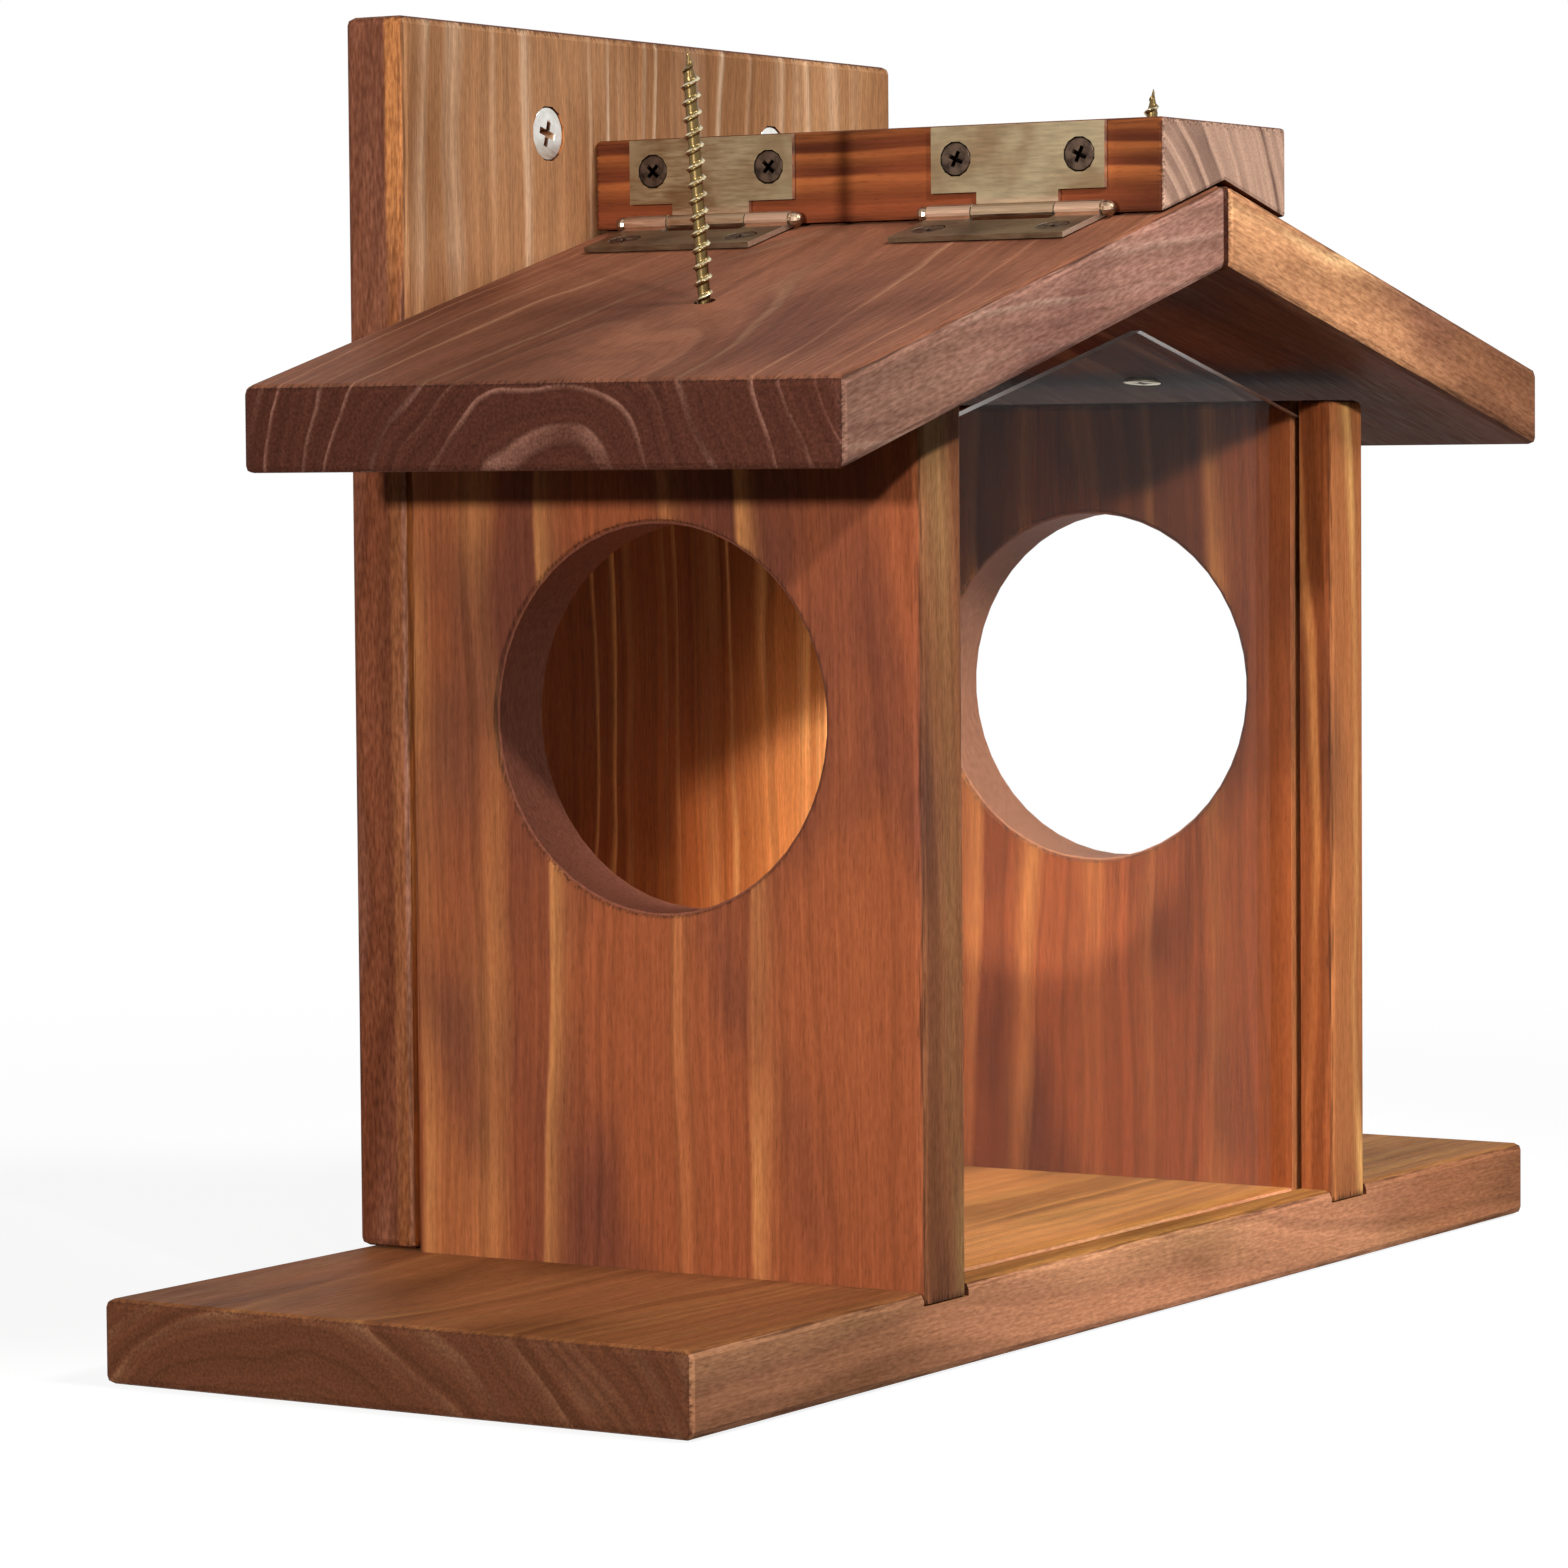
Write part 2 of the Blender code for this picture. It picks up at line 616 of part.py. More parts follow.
def make_hinges(pivot, lid, block):
    """Two butt hinges, one leaf on the block's face and one on the lid, with their pins and screws."""
    moving = []
    for name, y in hinge_places.items():
        place = Vector((pivot.x, y, pivot.z))
        block_leaf = make_leaf(name + "_hinge_block_leaf", True)
        block_leaf.location = place
        lid_leaf = make_leaf(name + "_hinge_lid_leaf", False)
        turn = Matrix.Rotation(-math.pi / 2 - LID_PITCH, 4, "Y") @ Matrix.Rotation(math.pi, 4, "Z")
        lid_leaf.matrix_world = Matrix.Translation(place) @ turn
        make_pin(name + "_hinge_pin", place)
        moving.append(lid_leaf)
        along = turn.to_3x3() @ UP
        for index, offset in enumerate((-LEAF_SCREW_SPACING / 2, LEAF_SCREW_SPACING / 2)):
            ending = "_screw_" + str(index + 1)
            steel = dark_steel(name + "_leaf" + ending)
            sizes = (HINGE_SCREW_HEAD, HINGE_SCREW_SHANK, HINGE_SCREW_LENGTH, steel)
            face = KNUCKLE_RADIUS - LEAF_THICKNESS
            head = place + Vector((face, offset, LEAF_SCREW_REACH))
            hole = make_screw(name + "_hinge_block" + ending, head, LEFT, *sizes)[1]
            cut(block_leaf, hole)
            cut(block, hole)
            head = place + along * LEAF_SCREW_REACH - LID_NORMAL * face + Vector((0, offset, 0))
            screw, hole = make_screw(name + "_hinge_lid" + ending, head, LID_NORMAL, *sizes)
            cut(lid_leaf, hole)
            cut(lid, hole)
            moving += [screw, hole]
    return moving


def make_cob_screws(lid, roof):
    """A long screw through each roof slope from below, leaning a little outwards, for a corn cob."""
    yellow = (0.62, 0.52, 0.30)
    made = {}
    for name, side, board in (("left", -1, lid), ("right", 1, roof)):
        x = side * COB_SCREW_SPREAD
        direction = Vector((-side * math.sin(COB_SCREW_LEAN), 0, -math.cos(COB_SCREW_LEAN)))
        place = Vector((x, front_y + COB_SCREW_SETBACK, roof_underside(x) - COB_SCREW_SINK))
        steel = zinc_steel(name + "_cob_screw", yellow)
        sizes = (COB_SCREW_HEAD, COB_SCREW_THREAD, COB_SCREW_CORE, COB_SCREW_PITCH, COB_SCREW_LENGTH)
        screw, hole = make_long_screw(
            name + "_cob_screw", place, direction, *sizes, ROOF_THICKNESS, COB_SCREW_TIP, steel
        )
        cut(board, hole)
        made[name] = [screw, hole]
    return made


def make_wall_screws(back):
    """Two screws through the back board, which hold the feeder to a wall or a trunk."""
    for name, side in (("left", -1), ("right", 1)):
        head_y = back_front_y + WALL_SCREW_SINK
        place = Vector((side * WALL_SCREW_SPREAD, head_y, back_top - WALL_SCREW_DROP))
        steel = zinc_steel(name + "_wall_screw")
        sizes = (WALL_SCREW_HEAD, WALL_SCREW_THREAD, WALL_SCREW_CORE, WALL_SCREW_PITCH, WALL_SCREW_LENGTH)
        hole = make_long_screw(
            name + "_wall_screw", place, FORWARD, *sizes, BACK_THICKNESS, WALL_SCREW_TIP, steel
        )[1]
        cut(back, hole)


def hang_on_axis(pivot, pieces):
    """Parents what moves with the lid to an empty on the hinge axis."""
    carrier = bpy.data.objects.new("lid_axis", None)
    carrier.location = pivot
    bpy.context.scene.collection.objects.link(carrier)
    bpy.context.view_layer.update()
    for piece in pieces:
        piece.parent = carrier
        piece.matrix_parent_inverse = carrier.matrix_world.inverted()


def build():
    for old in list(bpy.data.objects):
        bpy.data.objects.remove(old)
    pivot = Vector((axis_x, 0, axis_z))
    base = make_base_board()
    back = make_back_board()
    panels = {"left": make_side_panel("left_side_panel", -1), "right": make_side_panel("right_side_panel", 1)}
    make_window()
    roof = make_roof_panel()
    lid = make_lid(pivot)
    block = make_ridge_block()
    fix_side_panels(base, back, panels)
    fix_back_board(base, back, roof, block)
    fix_ridge_block(roof, block)
    hinge_parts = make_hinges(pivot, lid, block)
    cob_screws = make_cob_screws(lid, roof)
    make_wall_screws(back)
    hang_on_axis(pivot, [lid, *hinge_parts, *cob_screws["left"]])


build()
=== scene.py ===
import bpy
import bmesh
import math
from mathutils import Matrix, Vector


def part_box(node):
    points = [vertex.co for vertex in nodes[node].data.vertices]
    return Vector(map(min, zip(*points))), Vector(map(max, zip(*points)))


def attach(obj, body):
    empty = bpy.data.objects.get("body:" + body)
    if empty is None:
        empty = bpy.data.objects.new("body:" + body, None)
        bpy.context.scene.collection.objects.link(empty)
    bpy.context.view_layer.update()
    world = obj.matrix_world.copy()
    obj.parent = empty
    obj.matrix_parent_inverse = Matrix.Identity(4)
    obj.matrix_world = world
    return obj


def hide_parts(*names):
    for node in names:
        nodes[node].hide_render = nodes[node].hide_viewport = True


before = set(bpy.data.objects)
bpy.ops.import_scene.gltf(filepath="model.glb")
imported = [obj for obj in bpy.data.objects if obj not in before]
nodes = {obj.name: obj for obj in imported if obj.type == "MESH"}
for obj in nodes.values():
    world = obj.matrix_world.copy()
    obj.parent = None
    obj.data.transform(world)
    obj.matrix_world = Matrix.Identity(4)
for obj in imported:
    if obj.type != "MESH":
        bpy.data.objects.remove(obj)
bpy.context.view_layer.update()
mm = 0.001
print("frame loaded:", len(nodes), "nodes")


# Small tools

def linear(hexCode):
    # sRGB hex to the linear colour a shader wants
    values = [int(hexCode[k:k + 2], 16) / 255 for k in (0, 2, 4)]
    return tuple(v / 12.92 if v <= 0.04045 else ((v + 0.055) / 1.055) ** 2.4 for v in values) + (1.0,)


def addNode(tree, kind, settings=None, links=None, out=0):
    # one node: settings go to its properties or sockets, links join what comes before it
    node = tree.nodes.new("ShaderNode" + kind)
    for key, value in (settings or {}).items():
        if isinstance(key, str) and hasattr(node, key):
            setattr(node, key, value)
        else:
            node.inputs[key].default_value = value
    for socket, source in (links or {}).items():
        tree.links.new(source, node.inputs[socket])
    return node.outputs[out] if node.outputs else node


def newMaterial(name):
    material = bpy.data.materials.new(name)
    material.use_nodes = True
    material.node_tree.nodes.clear()
    return material, material.node_tree


def setMaterial(piece, material):
    piece.data.materials.clear()
    piece.data.materials.append(material)
    for face in piece.data.polygons:
        face.material_index = 0


def addObject(name, mesh):
    added = bpy.data.objects.new(name, mesh)
    bpy.context.scene.collection.objects.link(added)
    return added


# settings that many nodes share
mixed = {"data_type": "RGBA"}
multiplied = {"data_type": "RGBA", "blend_type": "MULTIPLY"}
smooth = {"interpolation_type": "SMOOTHSTEP"}
noiseSpan = {1: 0.3, 2: 0.7}         # the lowest and highest value that a noise usually has
times, plus, minus, absolute = [{"operation": name} for name in ("MULTIPLY", "ADD", "SUBTRACT", "ABSOLUTE")]


# Wood

# What all the boards share: fir that was scorched, brushed, stained and lacquered. Lengths in mm.
wood = {
    # length and width of the fine fibres, of the dark pores, of the specks of stain in rough fibres and of the
    # clouds in the stain, each with its detail
    "textures": {"fibre": (12, 0.5, 2.5), "pore": (3, 0.35, 1.0), "speck": (2.2, 0.55, 2.0), "cloud": (80, 34, 2.5)},
    "cloudEdges": (0.42, 0.66),      # where a cloud starts and is full
    "poreEdges": (0.58, 0.72),       # where a pore starts and is full
    "bandTone": (0.83, 1.15),        # darkest and lightest of the soft bands between the rings
    "fibreTone": (0.89, 1.09),       # darkest and lightest of the fibres
    "poreTone": 0.82,
    "speckTone": ((0.68, 0.6, 0.57, 1.0), (1.3, 1.32, 1.34, 1.0)),
    "faceSpecks": 0.3,               # share of the specks that shows on the planed faces
    "boreSpecks": 0.6,               # and in the entrances
    "turn": (0.55, 0.85),            # how squarely a surface looks along the board or across it to count as an end or edge
    "rim": 1.5,                      # width of the scorched rim along each edge
    "rimSway": (-0.3, 0.7),          # how far the fibres push the rim out and in, in its widths
    "rimShare": 0.75,
    "roughness": (0.68, 0.5),        # of the low and the high fibres
    "gloss": {"IOR": 1.5, "Specular IOR Level": 0.04},
    "bump": 0.16,                    # height of the hard rings over the brushed soft wood
    "bumpStrength": 0.5,
    "fibreHeight": 0.8,              # height of the fibres, in ring heights
}

# the growth rings; fineness is per mm
ringLook = {
    "bendFineness": ((0.005, 0.02, 0.02), (0.02, 0.06, 0.06)),   # of the long and the short bends
    "uneven": (0.9, 1.6),            # how often the rings' width changes, and how far, in rings
    "strength": (0.25, 1.0),         # of the faintest and the clearest line
    "lineEdges": (1.6, 0.6, 0.5),    # where a line starts, is full and starts to end, in its widths
    "fadeFineness": (0.012, 0.05, 0.05),
    "fadeEdges": (0.36, 0.62),       # where a line is most faded and where it is whole
    "faded": 0.2,
    "bandFineness": 0.45,
}

slopeLid, slopeRoof = math.radians(15), math.radians(13.5)
# "grain" runs along the board and "face" stands out of it. The rings circle the "pith", leaning by "lean",
# spaced by "ring", with pale lines "line" of that wide, and wander by "bend". "rough" is the share of the
# specks on its sawn edges and ends. "side", the long edges' colour, is their own tone with painted light and
# painted shade in it: lighter on edges that the lamps light, darker on edges in shade. A drift changes the tone
# of the faces, of the long edges or of the painted shade inside the house between two places along X, in mm;
# the drift inside the house paints light on that shade.
boards = {
    "left_side_panel": {
        "grain": (0, 0, 1), "face": (-1, 0, 0),
        "pith": (-150, -60), "lean": (0.015, 0.02), "ring": 23, "line": 0.26, "bend": (9, 2.4),
        "ground": "8e4c2d", "deep": "683828", "streak": "c8864e", "streakShare": 0.8, "side": "784a30",
        "endGround": "6a3e2a", "endLine": "8a5a40", "rim": "3a2116", "rough": 0.5, "bore": "804c3a",
    },
    "right_side_panel": {
        "grain": (0, 0, 1), "face": (-1, 0, 0),
        "pith": (140, 70), "lean": (-0.01, 0.02), "ring": 14, "line": 0.3, "bend": (9, 2.2),
        "ground": "864624", "deep": "5a2e1a", "streak": "be7c44", "streakShare": 0.75, "side": "a4643a",
        "endGround": "6a3e2a", "endLine": "8a5a40", "rim": "3a2116", "rough": 0.3, "bore": "96664c",
    },
    "back_board": {
        "grain": (0, 0, 1), "face": (0, -1, 0),
        "pith": (150, -70), "lean": (0.03, 0.06), "ring": 10, "line": 0.35, "bend": (16, 3),
        "ground": "ca9468", "deep": "ac7850", "streak": "f6cea8", "streakShare": 0.9, "side": "74412a",
        "endGround": "6a3e2a", "endLine": "8a5a40", "rim": "4a2a1c", "rough": 1.0,
        # painted shade on the face inside the house, under the roof, and on its lines: between which heights, in
        # metres, and which depths, in mm
        "below": "8e4922", "belowStreak": "d08a4c", "belowHeights": (0.2, 0.175), "belowDepths": (5.0, 6.0),
        # the pale sapwood on the edge, near the face: from which depths and heights, and its share lower down
        "sap": "c07c48", "sapDepths": (2.0, 3.0), "sapHeights": (0.19, 0.21), "sapLow": 0.2,
        # the drift inside the house is painted light: the painted shade turns brighter and more golden towards the
        # right, where the lamps reach in
        "faceDrift": (15, 60, (1.36, 1.4, 1.42)), "belowDrift": (12, 45, (1.85, 2.5, 2.9)),
    },
    "base_board": {
        "grain": (1, 0, 0), "face": (0, 0, 1),
        "pith": (26, -46), "lean": (0.02, 0.015), "ring": 9, "line": 0.3, "bend": (10, 2.2),
        "ground": "935a36", "deep": "744526", "streak": "b27a48", "streakShare": 0.5, "side": "b87e5c",
        "endGround": "603824", "endLine": "80563c", "rim": "4a2a1c", "rough": 0.6,
        "faceDrift": (-88, -72, (1.2, 1.38, 1.1)), "sideDrift": (80, 125, (0.74, 0.67, 0.6)),
    },
    "lid": {
        "grain": (-math.cos(slopeLid), 0, -math.sin(slopeLid)), "face": (-math.sin(slopeLid), 0, math.cos(slopeLid)),
        "pith": (-2, -27), "lean": (0.05, 0.14), "ring": 7.5, "line": 0.18, "bend": (12, 2.6),
        "ground": "80503a", "deep": "603828", "streak": "a87c5e", "streakShare": 0.5, "side": "9a7060",
        "endGround": "4c291e", "endLine": "8a6050", "rim": "2c1a14", "rough": 0.8,
        "sideDrift": (-60, -110, (0.74, 0.74, 0.7)),
    },
    "roof_panel": {
        "grain": (math.cos(slopeRoof), 0, -math.sin(slopeRoof)), "face": (math.sin(slopeRoof), 0, math.cos(slopeRoof)),
        "pith": (14, -24), "lean": (-0.04, 0.04), "ring": 10, "line": 0.25, "bend": (10, 2.2),
        "ground": "744630", "deep": "5a3224", "streak": "a07454", "streakShare": 0.6, "side": "c48c62",
        "endGround": "4c291e", "endLine": "8a6050", "rim": "2c1a14", "rough": 0.8,
        "sideDrift": (70, 115, (0.54, 0.47, 0.48)),
    },
    "ridge_block": {
        "grain": (0, 1, 0), "face": (0, 0, 1),
        "pith": (46, -30), "lean": (0.01, 0.02), "ring": 5.5, "line": 0.45, "bend": (7, 1.6),
        "ground": "63301c", "deep": "38190e", "streak": "9c5a30", "streakShare": 0.6, "side": "763a21",
        "endGround": "bc9680", "endLine": "5a4038", "rim": "3e2014", "rough": 0.1,
    },
}
# in mm; "wall" is how far from the radius the wall's colour starts and is full
entrance = {"y": -6.65, "z": 114.3, "radius": 34.925, "wall": (0.5, 0.15)}


def edgeDistance(tree, point, node, look):
    # how far a point of the surface is from its board's nearest edge, in metres
    corners = [v.co for v in nodes[node].data.vertices]
    face, grain = Vector(look["face"]), Vector(look["grain"])
    along = Vector((1, 0, 0)) if node in ("lid", "roof_panel") else grain  # the roof's ends are cut plumb
    depths = []
    for direction in (along, face.cross(grain), face):
        reach = [c.dot(direction) for c in corners]
        middle, half = (max(reach) + min(reach)) / 2, (max(reach) - min(reach)) / 2
        measured = addNode(tree, "VectorMath", {"operation": "DOT_PRODUCT", 1: direction}, {0: point}, 1)
        offset = addNode(tree, "Math", {**minus, 1: middle}, {0: measured})
        offset = addNode(tree, "Math", absolute, {0: offset})
        depths.append(addNode(tree, "Math", {**minus, 0: half}, {1: offset}))
    low = addNode(tree, "Math", {"operation": "MINIMUM"}, {0: depths[0], 1: depths[1]})
    high = addNode(tree, "Math", {"operation": "MAXIMUM"}, {0: depths[0], 1: depths[1]})
    high = addNode(tree, "Math", {"operation": "MINIMUM"}, {0: high, 1: depths[2]})
    return addNode(tree, "Math", {"operation": "MAXIMUM"}, {0: low, 1: high})


def growthRings(tree, place, look):
    # the hard rings round the tree's middle: lines along the grain, arcs on the end grain
    bent = place
    for amount, fineness in zip(look["bend"], ringLook["bendFineness"]):
        bend = addNode(tree, "VectorMath", {**times, 1: fineness}, {0: place})
        bend = addNode(tree, "TexNoise", {"Scale": 1.0, "Detail": 1.5}, {"Vector": bend}, 1)
        bend = addNode(tree, "VectorMath", {**minus, 1: (0.5, 0.5, 0.5)}, {0: bend})
        bend = addNode(tree, "VectorMath", {"operation": "SCALE", "Scale": amount * 2}, {0: bend})
        bent = addNode(tree, "VectorMath", plus, {0: bent, 1: bend})
    offsets = []
    for pith, lean, side in zip(look["pith"], look["lean"], ((1, 0), (0, 1))):
        offset = addNode(tree, "VectorMath", {"operation": "DOT_PRODUCT", 1: (-lean, *side)}, {0: bent}, 1)
        offsets.append(addNode(tree, "Math", {**minus, 1: pith}, {0: offset}))
    radius = addNode(tree, "CombineXYZ", {}, {0: offsets[0], 1: offsets[1]})
    radius = addNode(tree, "VectorMath", {"operation": "LENGTH"}, {0: radius}, 1)

    ring, (often, far) = look["ring"], ringLook["uneven"]
    uneven = addNode(tree, "Math", {**times, 1: often / ring}, {0: radius})
    uneven = addNode(tree, "TexNoise", {"noise_dimensions": "1D", "Scale": 1.0, "Detail": 1.0}, {"W": uneven})
    uneven = addNode(tree, "Math", {"operation": "MULTIPLY_ADD", 1: ring * far}, {0: uneven, 2: radius})
    count = addNode(tree, "Math", {"operation": "DIVIDE", 1: ring}, {0: uneven})
    year = addNode(tree, "Math", {"operation": "FLOOR"}, {0: count})
    share = addNode(tree, "Math", {"operation": "FRACT"}, {0: count})
    luck = addNode(tree, "TexWhiteNoise", {"noise_dimensions": "1D"}, {"W": year})
    faintest, clearest = ringLook["strength"]
    strength = addNode(tree, "MapRange", {3: faintest, 4: clearest}, {0: luck})

    start, full, ending = [1 - look["line"] * widths for widths in ringLook["lineEdges"]]
    rise = addNode(tree, "MapRange", {**smooth, 1: start, 2: full}, {0: share})
    fall = addNode(tree, "MapRange", {**smooth, 1: ending, 2: 1.0, 3: 1.0, 4: 0.0}, {0: share})
    fade = addNode(tree, "VectorMath", {**times, 1: ringLook["fadeFineness"]}, {0: place})
    fade = addNode(tree, "TexNoise", {"Scale": 1.0, "Detail": 2.0}, {"Vector": fade})
    low, high = ringLook["fadeEdges"]
    fade = addNode(tree, "MapRange", {**smooth, 1: low, 2: high, 3: ringLook["faded"], 4: 1.0}, {0: fade})
    line = rise
    for part in (fall, strength, fade):
        line = addNode(tree, "Math", times, {0: line, 1: part})

    band = addNode(tree, "Math", {**times, 1: ringLook["bandFineness"]}, {0: radius})
    settings = {"noise_dimensions": "1D", "Scale": 1.0, "Detail": 3.0, "Roughness": 0.6}
    band = addNode(tree, "TexNoise", settings, {"W": band})
    return line, band


def drifted(tree, colour, point, drift):
    # a colour whose tone changes between two places along X
    start, end, tone = drift
    share = addNode(tree, "SeparateXYZ", {}, {0: point})
    share = addNode(tree, "MapRange", {**smooth, 1: start * mm, 2: end * mm}, {0: share})
    return addNode(tree, "Mix", {**multiplied, 7: (*tone, 1.0)}, {0: share, 6: colour}, 2)


def scorchedFir(node, look):
    # fir board, scorched and brushed, then stained and lacquered: the soft wood burns dark and the hard rings
    # stay as pale lines
    material, tree = newMaterial("scorched fir, brushed and stained, " + node.replace("_", " "))
    face, grain = Vector(look["face"]), Vector(look["grain"])
    across = face.cross(grain)
    turn = Matrix((grain, across, face)).transposed().to_euler()
    low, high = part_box(node)
    middle = [(a + b) / 2 for a, b in zip(low, high)]
    coords = addNode(tree, "TexCoord").node.outputs
    point = coords["Object"]
    settings = {"vector_type": "TEXTURE", "Location": middle, "Rotation": turn, "Scale": (mm, mm, mm)}
    place = addNode(tree, "Mapping", settings, {"Vector": point})
    rings, band = growthRings(tree, place, look)

    textures = {}
    for name, (length, width, detail) in wood["textures"].items():
        scaled = addNode(tree, "VectorMath", {**times, 1: (1 / length, 1 / width, 1 / width)}, {0: place})
        textures[name] = addNode(tree, "TexNoise", {"Scale": 1.0, "Detail": detail}, {"Vector": scaled})

    # which kind of face: the end grain drinks more stain, and the long edges keep their saw marks
    facing = {}
    least, most = wood["turn"]
    for name, direction in (("end", grain), ("side", across)):
        turned = addNode(tree, "VectorMath", {"operation": "DOT_PRODUCT", 1: direction}, {0: coords["Normal"]}, 1)
        turned = addNode(tree, "Math", absolute, {0: turned})
        facing[name] = addNode(tree, "MapRange", {**smooth, 1: least, 2: most}, {0: turned})

    side, ground = linear(look["side"]), linear(look["ground"])
    start, full = wood["cloudEdges"]
    cloud = addNode(tree, "MapRange", {**smooth, 1: start, 2: full}, {0: textures["cloud"]})
    colour = addNode(tree, "Mix", {**mixed, 6: ground, 7: linear(look["deep"])}, {0: cloud}, 2)
    streak = addNode(tree, "Math", {**times, 1: look["streakShare"]}, {0: rings})
    colour = addNode(tree, "Mix", {**mixed, 7: linear(look["streak"])}, {0: streak, 6: colour}, 2)
    # the long edges' colour: their own tone with painted light and painted shade in it, lighter on lit edges and
    # darker on shaded ones
    sideTintWithPaintedLight = addNode(tree, "RGB")
    sideTintWithPaintedLight.default_value = [a / b for a, b in zip(side, ground)]
    height = addNode(tree, "SeparateXYZ", {}, {0: point}, 2)
    depth = addNode(tree, "SeparateXYZ", {}, {0: place}, 2)
    if "below" in look:
        # painted shade: the face inside the house, under the roof, is darker, and so are its lines; the long edges
        # keep their own colour
        below = linear(look["below"])
        tint = tuple(a / b for a, b in zip(below, ground))
        (high, low), (deeper, outer) = look["belowHeights"], look["belowDepths"]
        under = addNode(tree, "MapRange", {1: high, 2: low}, {0: height})
        front = addNode(tree, "MapRange", {1: deeper, 2: outer}, {0: depth})
        under = addNode(tree, "Math", times, {0: under, 1: front})
        colour = addNode(tree, "Mix", {**multiplied, 7: tint}, {0: under, 6: colour}, 2)
        streak = addNode(tree, "Math", times, {0: rings, 1: under})
        colour = addNode(tree, "Mix", {**mixed, 7: linear(look["belowStreak"])}, {0: streak, 6: colour}, 2)
        # painted light: towards the right the painted shade turns brighter and more golden, where the lamps reach
        # inside
        paintedLight = drifted(tree, colour, point, look["belowDrift"])
        colour = addNode(tree, "Mix", mixed, {0: under, 6: colour, 7: paintedLight}, 2)
        tint = tuple(a / b for a, b in zip(side, below))
        sideTintWithPaintedLight = addNode(tree, "Mix", {**mixed, 7: tint}, {0: under, 6: sideTintWithPaintedLight}, 2)
    sided = addNode(tree, "Mix", {**multiplied, 0: 1.0}, {6: colour, 7: sideTintWithPaintedLight}, 2)
    if "sap" in look:
        # a layer of pale sapwood shows along the edge, near the face
        (deeper, outer), (low, high) = look["sapDepths"], look["sapHeights"]
        sap = addNode(tree, "MapRange", {**smooth, 1: deeper, 2: outer}, {0: depth})
        above = addNode(tree, "MapRange", {1: low, 2: high, 3: look["sapLow"]}, {0: height})
        sap = addNode(tree, "Math", times, {0: sap, 1: above})
        sided = addNode(tree, "Mix", {**mixed, 7: linear(look["sap"])}, {0: sap, 6: sided}, 2)
    if "faceDrift" in look:
        colour = drifted(tree, colour, point, look["faceDrift"])
    if "sideDrift" in look:
        sided = drifted(tree, sided, point, look["sideDrift"])
    colour = addNode(tree, "Mix", mixed, {0: facing["side"], 6: colour, 7: sided}, 2)
    ends = addNode(tree, "Mix", {**mixed, 6: linear(look["endGround"]), 7: linear(look["endLine"])}, {0: rings}, 2)
    colour = addNode(tree, "Mix", mixed, {0: facing["end"], 6: colour, 7: ends}, 2)

    # the rings' soft bands, the fibres, the pores and, mostly on the sawn edges and ends, specks of stain
    sawn = addNode(tree, "Math", {"operation": "MAXIMUM"}, {0: facing["side"], 1: facing["end"]})
    sawn = addNode(tree, "MapRange", {3: wood["faceSpecks"], 4: look["rough"]}, {0: sawn})
    tones = {}
    for name, texture in (("fibreTone", textures["fibre"]), ("bandTone", band)):
        darkest, lightest = wood[name]
        tones[name] = addNode(tree, "MapRange", {**noiseSpan, 3: darkest, 4: lightest}, {0: texture})
    start, full = wood["poreEdges"]
    settings = {**smooth, 1: start, 2: full, 3: 1.0, 4: wood["poreTone"]}
    poreTone = addNode(tree, "MapRange", settings, {0: textures["pore"]})
    speck = addNode(tree, "MapRange", noiseSpan, {0: textures["speck"]})
    darkest, lightest = wood["speckTone"]
    speckTone = addNode(tree, "Mix", {**mixed, 6: darkest, 7: lightest}, {0: speck}, 2)
    for shade, share in ((tones["bandTone"], None), (tones["fibreTone"], None), (poreTone, None), (speckTone, sawn)):
        links = {6: colour, 7: shade}
        if share:
            links[0] = share
        colour = addNode(tree, "Mix", {**multiplied, 0: 1.0}, links, 2)

    # a scorched rim along the edges, and a plain dark wall in the entrance
    distance = edgeDistance(tree, point, node, look)
    if "bore" in look:
        centre = (0, entrance["y"] * mm, entrance["z"] * mm)
        offset = addNode(tree, "VectorMath", {**minus, 1: centre}, {0: point})
        offset = addNode(tree, "VectorMath", {**times, 1: (0, 1, 1)}, {0: offset})
        reach = addNode(tree, "VectorMath", {"operation": "LENGTH"}, {0: offset}, 1)
        reach = addNode(tree, "Math", {**minus, 1: entrance["radius"] * mm}, {0: reach})
        distance = addNode(tree, "Math", {"operation": "MINIMUM"}, {0: distance, 1: reach})
        far, near = entrance["wall"]
        wall = addNode(tree, "MapRange", {1: far * mm, 2: near * mm}, {0: reach})
        settings = {**multiplied, 0: wood["boreSpecks"], 6: linear(look["bore"])}
        tinted = addNode(tree, "Mix", settings, {7: speckTone}, 2)
    wide = wood["rim"] * mm
    outward, inward = wood["rimSway"]
    uneven = addNode(tree, "MapRange", {**noiseSpan, 3: outward * wide, 4: inward * wide}, {0: textures["fibre"]})
    distance = addNode(tree, "Math", plus, {0: distance, 1: uneven})
    rim = addNode(tree, "MapRange", {**smooth, 1: 0.0, 2: wide, 3: wood["rimShare"], 4: 0.0}, {0: distance})
    colour = addNode(tree, "Mix", {**mixed, 7: linear(look["rim"])}, {0: rim, 6: colour}, 2)
    if "bore" in look:
        colour = addNode(tree, "Mix", mixed, {0: wall, 6: colour, 7: tinted}, 2)

